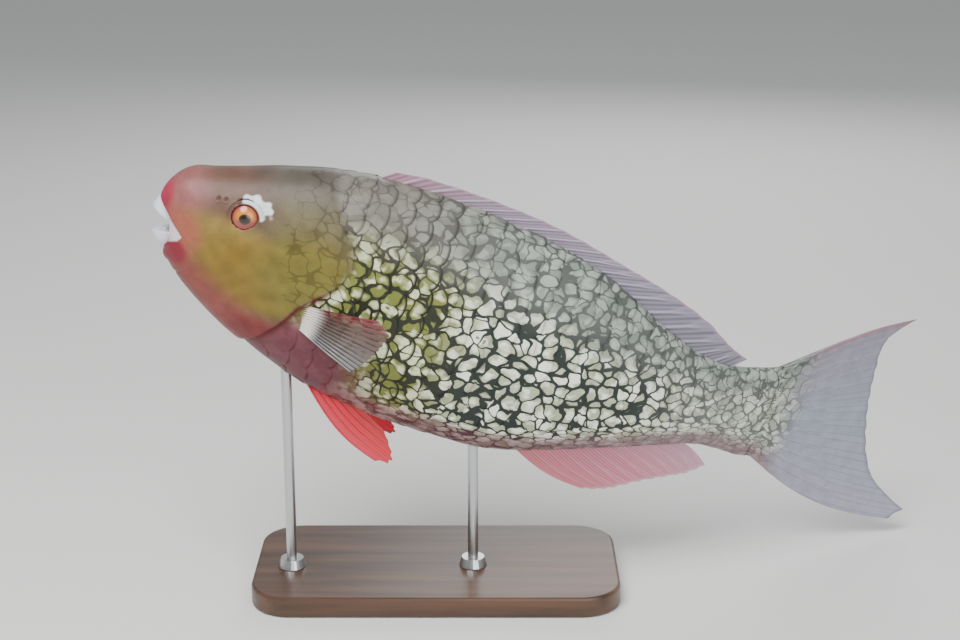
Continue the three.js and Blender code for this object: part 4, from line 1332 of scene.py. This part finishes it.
# %% Cells of the wet skin
CELL_SIZE = 0.8  # cm, of the pale cells
BEND_SCALE, BEND_BY = 0.95, (1.1, 1.1, 0)
BAY_REACH, BAY_SIZE = (0.55, 0.55, 0), 0.15
MID_GREY = (0.5, 0.5, 0.5)
wet_skin, tree, shader = new_material("wet_skin", roughness=0.44, coat=0.06, shine=0.25)
flat = attribute(tree, "flat", "Vector")
line_width, variety, dark_dot = split(tree, attribute(tree, "network", "Vector"))
shifted = vector_maths(tree, "SUBTRACT", noise(tree, flat, BEND_SCALE, 1.0, "Color"), MID_GREY)
bent = vector_maths(tree, "ADD", flat, vector_maths(tree, "MULTIPLY", shifted, BEND_BY))
web_inputs = {"Vector": bent, "Scale": 1 / CELL_SIZE, "Randomness": 0.85}
to_edge = add(tree, "ShaderNodeTexVoronoi", {"feature": "DISTANCE_TO_EDGE"}, web_inputs).outputs[0]
cell = add(tree, "ShaderNodeTexVoronoi", {"feature": "F1"}, web_inputs)
to_middle = cell.outputs["Distance"]
shade_chance, dot_chance, bay_chance = split(tree, cell.outputs["Color"])
corner_cut = maths(tree, "MULTIPLY", maths(tree, "SUBTRACT", to_middle, 0.35), 0.3)
field = maths(tree, "SUBTRACT", to_edge, line_width)
field = maths(tree, "SUBTRACT", field, maths(tree, "MAXIMUM", corner_cut, 0.0))
from_centre = vector_maths(tree, "SUBTRACT", bent, cell.outputs["Position"])
aside = vector_maths(tree, "SUBTRACT", cell.outputs["Color"], MID_GREY)
to_bay = vector_maths(tree, "DISTANCE", from_centre, vector_maths(tree, "MULTIPLY", aside, BAY_REACH))
has_bay = maths(tree, "MULTIPLY", smooth_range(tree, bay_chance, 0.42, 0.5), variety)
bay = maths(tree, "SUBTRACT", to_bay, maths(tree, "MULTIPLY", has_bay, BAY_SIZE))
no_bay = maths(tree, "SUBTRACT", 0.5, maths(tree, "MULTIPLY", has_bay, 0.5))
field = maths(tree, "SMOOTH_MIN", field, maths(tree, "ADD", bay, no_bay), 0.08)
print("cells take", len(tree.nodes), "nodes")

# %% [markdown]
# Now the colours are mixed. Inside a cell the pale colour gives way to the shaded one towards the
# edge, more in some cells than in others. In front each scale's rim draws its own dark line and some
# cells carry a dark dot, and a fine speckle goes over all.

# %% Colours of the wet skin
mask = smooth_range(tree, field, -0.03, 0.03)
rim_dark = smooth_range(tree, attribute(tree, "rim", "Fac"), 0.77, 0.96)
rim_dark = maths(tree, "MULTIPLY", rim_dark, smooth_range(tree, line_width, -0.05, 0.02))
mask = maths(tree, "MULTIPLY", mask, maths(tree, "SUBTRACT", 1.0, rim_dark))
cloud = smooth_range(tree, noise(tree, flat, 1.5, 1.0), 0.35, 0.65, -0.3, 0.3)
shadow = maths(tree, "ADD", to_middle, cloud)
shadow = maths(tree, "ADD", shadow, smooth_range(tree, shade_chance, 0.0, 1.0, 0.3, -0.25))
shadow = smooth_range(tree, shadow, 0.15, 0.7)
inside = mix_colours(tree, shadow, attribute(tree, "cells"), attribute(tree, "shaded"))
tone = mix_colours(tree, mask, attribute(tree, "lines"), inside)
spot = maths(tree, "MULTIPLY", smooth_range(tree, to_middle, 0.16, 0.08), dark_dot)
spot = maths(tree, "MULTIPLY", spot, smooth_range(tree, dot_chance, 0.55, 0.6))
tone = mix_colours(tree, maths(tree, "MULTIPLY", spot, 0.8), tone, attribute(tree, "lines"))
straight = attribute(tree, "straight", "Vector")
shade = smooth_range(tree, noise(tree, straight, 1.3, 6.0, roughness=0.65), 0.25, 0.75, 0.87, 1.09)
speckle = add(tree, "ShaderNodeCombineColor", inputs={0: shade, 1: shade, 2: shade}).outputs[0]
tone = mix_colours(tree, 1.0, tone, speckle, "MULTIPLY")
tree.links.new(tone, shader.inputs["Base Color"])
bump = add(tree, "ShaderNodeBump", inputs={
    "Strength": 0.12, "Distance": 0.0006, "Height": noise(tree, straight, 14.0, 4.0)})
tree.links.new(bump.outputs[0], shader.inputs["Normal"])
wear(wet_skin, skin, coat_left, coat_right, caudal)
print("wet skin has", len(tree.nodes), "nodes")

# %% [markdown]
# The other fins, the eyes and the beak carry a painted colour, so each needs only its own gloss:
# satin for fins, glassy for eyes, enamel for the beak. The bare faces of the breast fins, noted when
# they were made, get a see-through material of the same colour.

# %% Painted materials
def painted(name, roughness, coat, things):
    """A material that shows the painted colour, given to things."""
    made, tree, shader = new_material(name, roughness, coat)
    tree.links.new(attribute(tree, "paint"), shader.inputs["Base Color"])
    wear(made, *things)
    return made, shader


painted("fin_web", 0.45, 0.1, [dorsal, anal, *paired.values()])
membrane, shader = painted("fin_membrane", 0.4, 0.0, [])
shader.inputs["Alpha"].default_value = 0.6
for word, _ in HANDS:
    fin = paired[f"pectoral_fin_{word}"]
    fin.data.materials.append(membrane)
    write_all(fin.data.polygons, "material_index", fin["bare_faces"], np.int32)
    del fin["bare_faces"]
painted("eye_glass", 0.2, 0.6, eyes.values())
painted("beak_enamel", 0.28, 0.4, [upper_beak, lower_beak])
print("materials:", [material.name for material in bpy.data.materials])

# %% [markdown]
# The stand is plain: a dark waxed wooden base and two bright steel rods. Its solids are already
# exact, so the frame's own meshes are shown and only painted.

# %% Stand
GRAIN = (6.0, 90.0, 90.0)  # the wood's figure is drawn out along the base
wood, tree, shader = new_material("dark_wood", roughness=0.42, coat=0.2)
place = add(tree, "ShaderNodeTexCoord").outputs["Object"]
stretched = add(tree, "ShaderNodeMapping", inputs={0: place, "Scale": GRAIN}).outputs[0]
figure = smooth_range(tree, noise(tree, stretched, 1.0, 6.0), 0.3, 0.7)
grain_tone = mix_colours(tree, figure, (*paint(52, 34, 24), 1), (*paint(92, 62, 42), 1))
tree.links.new(grain_tone, shader.inputs["Base Color"])
steel = new_material("satin_steel", roughness=0.28, metallic=1.0, colour=(196, 198, 200))[0]
wear(wood, nodes["stand_base"])
wear(steel, nodes["stand_rod_front"], nodes["stand_rod_rear"])
print("stand painted:", [name for name in nodes if name.startswith("stand")])

# %% [markdown]
# Each piece is hung on the frame's one body, and the solids that it stands for are hidden.

# %% Hang the pieces on the frame
stands_for = [
    (skin, "torso_skin", ["head", "gill_cover_left", "gill_cover_right", "torso", "tail"]),
    (coat_left, "torso_skin", []),
    (coat_right, "torso_skin", []),
    (dorsal, "dorsal_fin", ["dorsal_fin"]),
    (anal, "anal_fin", ["anal_fin"]),
    (caudal, "caudal_fin", ["caudal_fin"]),
    (upper_beak, "beak", ["upper_beak"]),
    (lower_beak, "beak", ["lower_beak"]),
    (eyes["left"], "eye", ["eye_left"]),
    (eyes["right"], "eye", ["eye_right"]),
]
stands_for += [(piece, name.rsplit("_", 1)[0], [name]) for name, piece in paired.items()]
for piece, finish, solids in stands_for:
    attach(piece, "root")
    if solids:
        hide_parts(*solids)
print(len(stands_for), "pieces")

# %% [markdown]
# Under water the light comes from the whole bright surface above. Here a large soft lamp from above
# stands for it, with a weaker one from the camera's side and one behind, on a pale floor and in an
# even pale surround. Large lamps give soft shadows, so the relief still reads.

# %% Floor and light
bpy.ops.mesh.primitive_plane_add(size=16, location=(0, 0, -0.0002))
floor = bpy.context.object
floor.name = "floor"
wear(new_material("pale_floor", roughness=0.8, colour=(226, 226, 223))[0], floor)
LIT_PLACE = Vector((0.03, 0, 0.16))


def soft_light(name, where, size, power):
    """A round lamp that looks at the fish."""
    lamp = bpy.data.lights.new(name, "AREA")
    lamp.shape = "DISK"
    lamp.size = size
    lamp.energy = power
    thing = new_object(name, lamp)
    thing.location = where
    thing.rotation_euler = (LIT_PLACE - Vector(where)).to_track_quat("-Z", "Y").to_euler()


soft_light("sun_through_water", (-0.35, -0.6, 1.25), 0.9, 24)
soft_light("fill", (0.6, -1.3, 0.5), 1.2, 11)
soft_light("behind", (0.3, 1.3, 0.9), 1.0, 8)
world = bpy.data.worlds.new("pale_surround")
world.use_nodes = True
background = world.node_tree.nodes["Background"]
background.inputs["Color"].default_value = (*paint(214, 218, 220), 1)
background.inputs["Strength"].default_value = 0.55
bpy.context.scene.world = world
print("lamps:", [lamp.name for lamp in bpy.data.lights])

# %% [markdown]
# The camera looks down a little at the fish's left side from a metre away, with a long lens, as in
# the photo. The lens is given in pixels of the photo's width and turned into millimetres.

# %% Camera
CAMERA_DOWN = math.radians(16.8)
CAMERA_AT = (0.02502, -0.9662, 0.4501)
FOCAL_PIXELS, FRAME_PIXELS, SENSOR = 1799.0, 960.0, 36.0
lens = bpy.data.cameras.new("camera")
lens.sensor_width = SENSOR
lens.lens = SENSOR * FOCAL_PIXELS / FRAME_PIXELS
camera = new_object("camera", lens)
camera.location = CAMERA_AT
camera.rotation_euler = (math.pi / 2 - CAMERA_DOWN, 0, 0)
bpy.context.scene.camera = camera
print("lens of", round(lens.lens, 1), "mm")

# %% [markdown]
# Last, the scene is brought up to date.

# %% The end
bpy.context.view_layer.update()
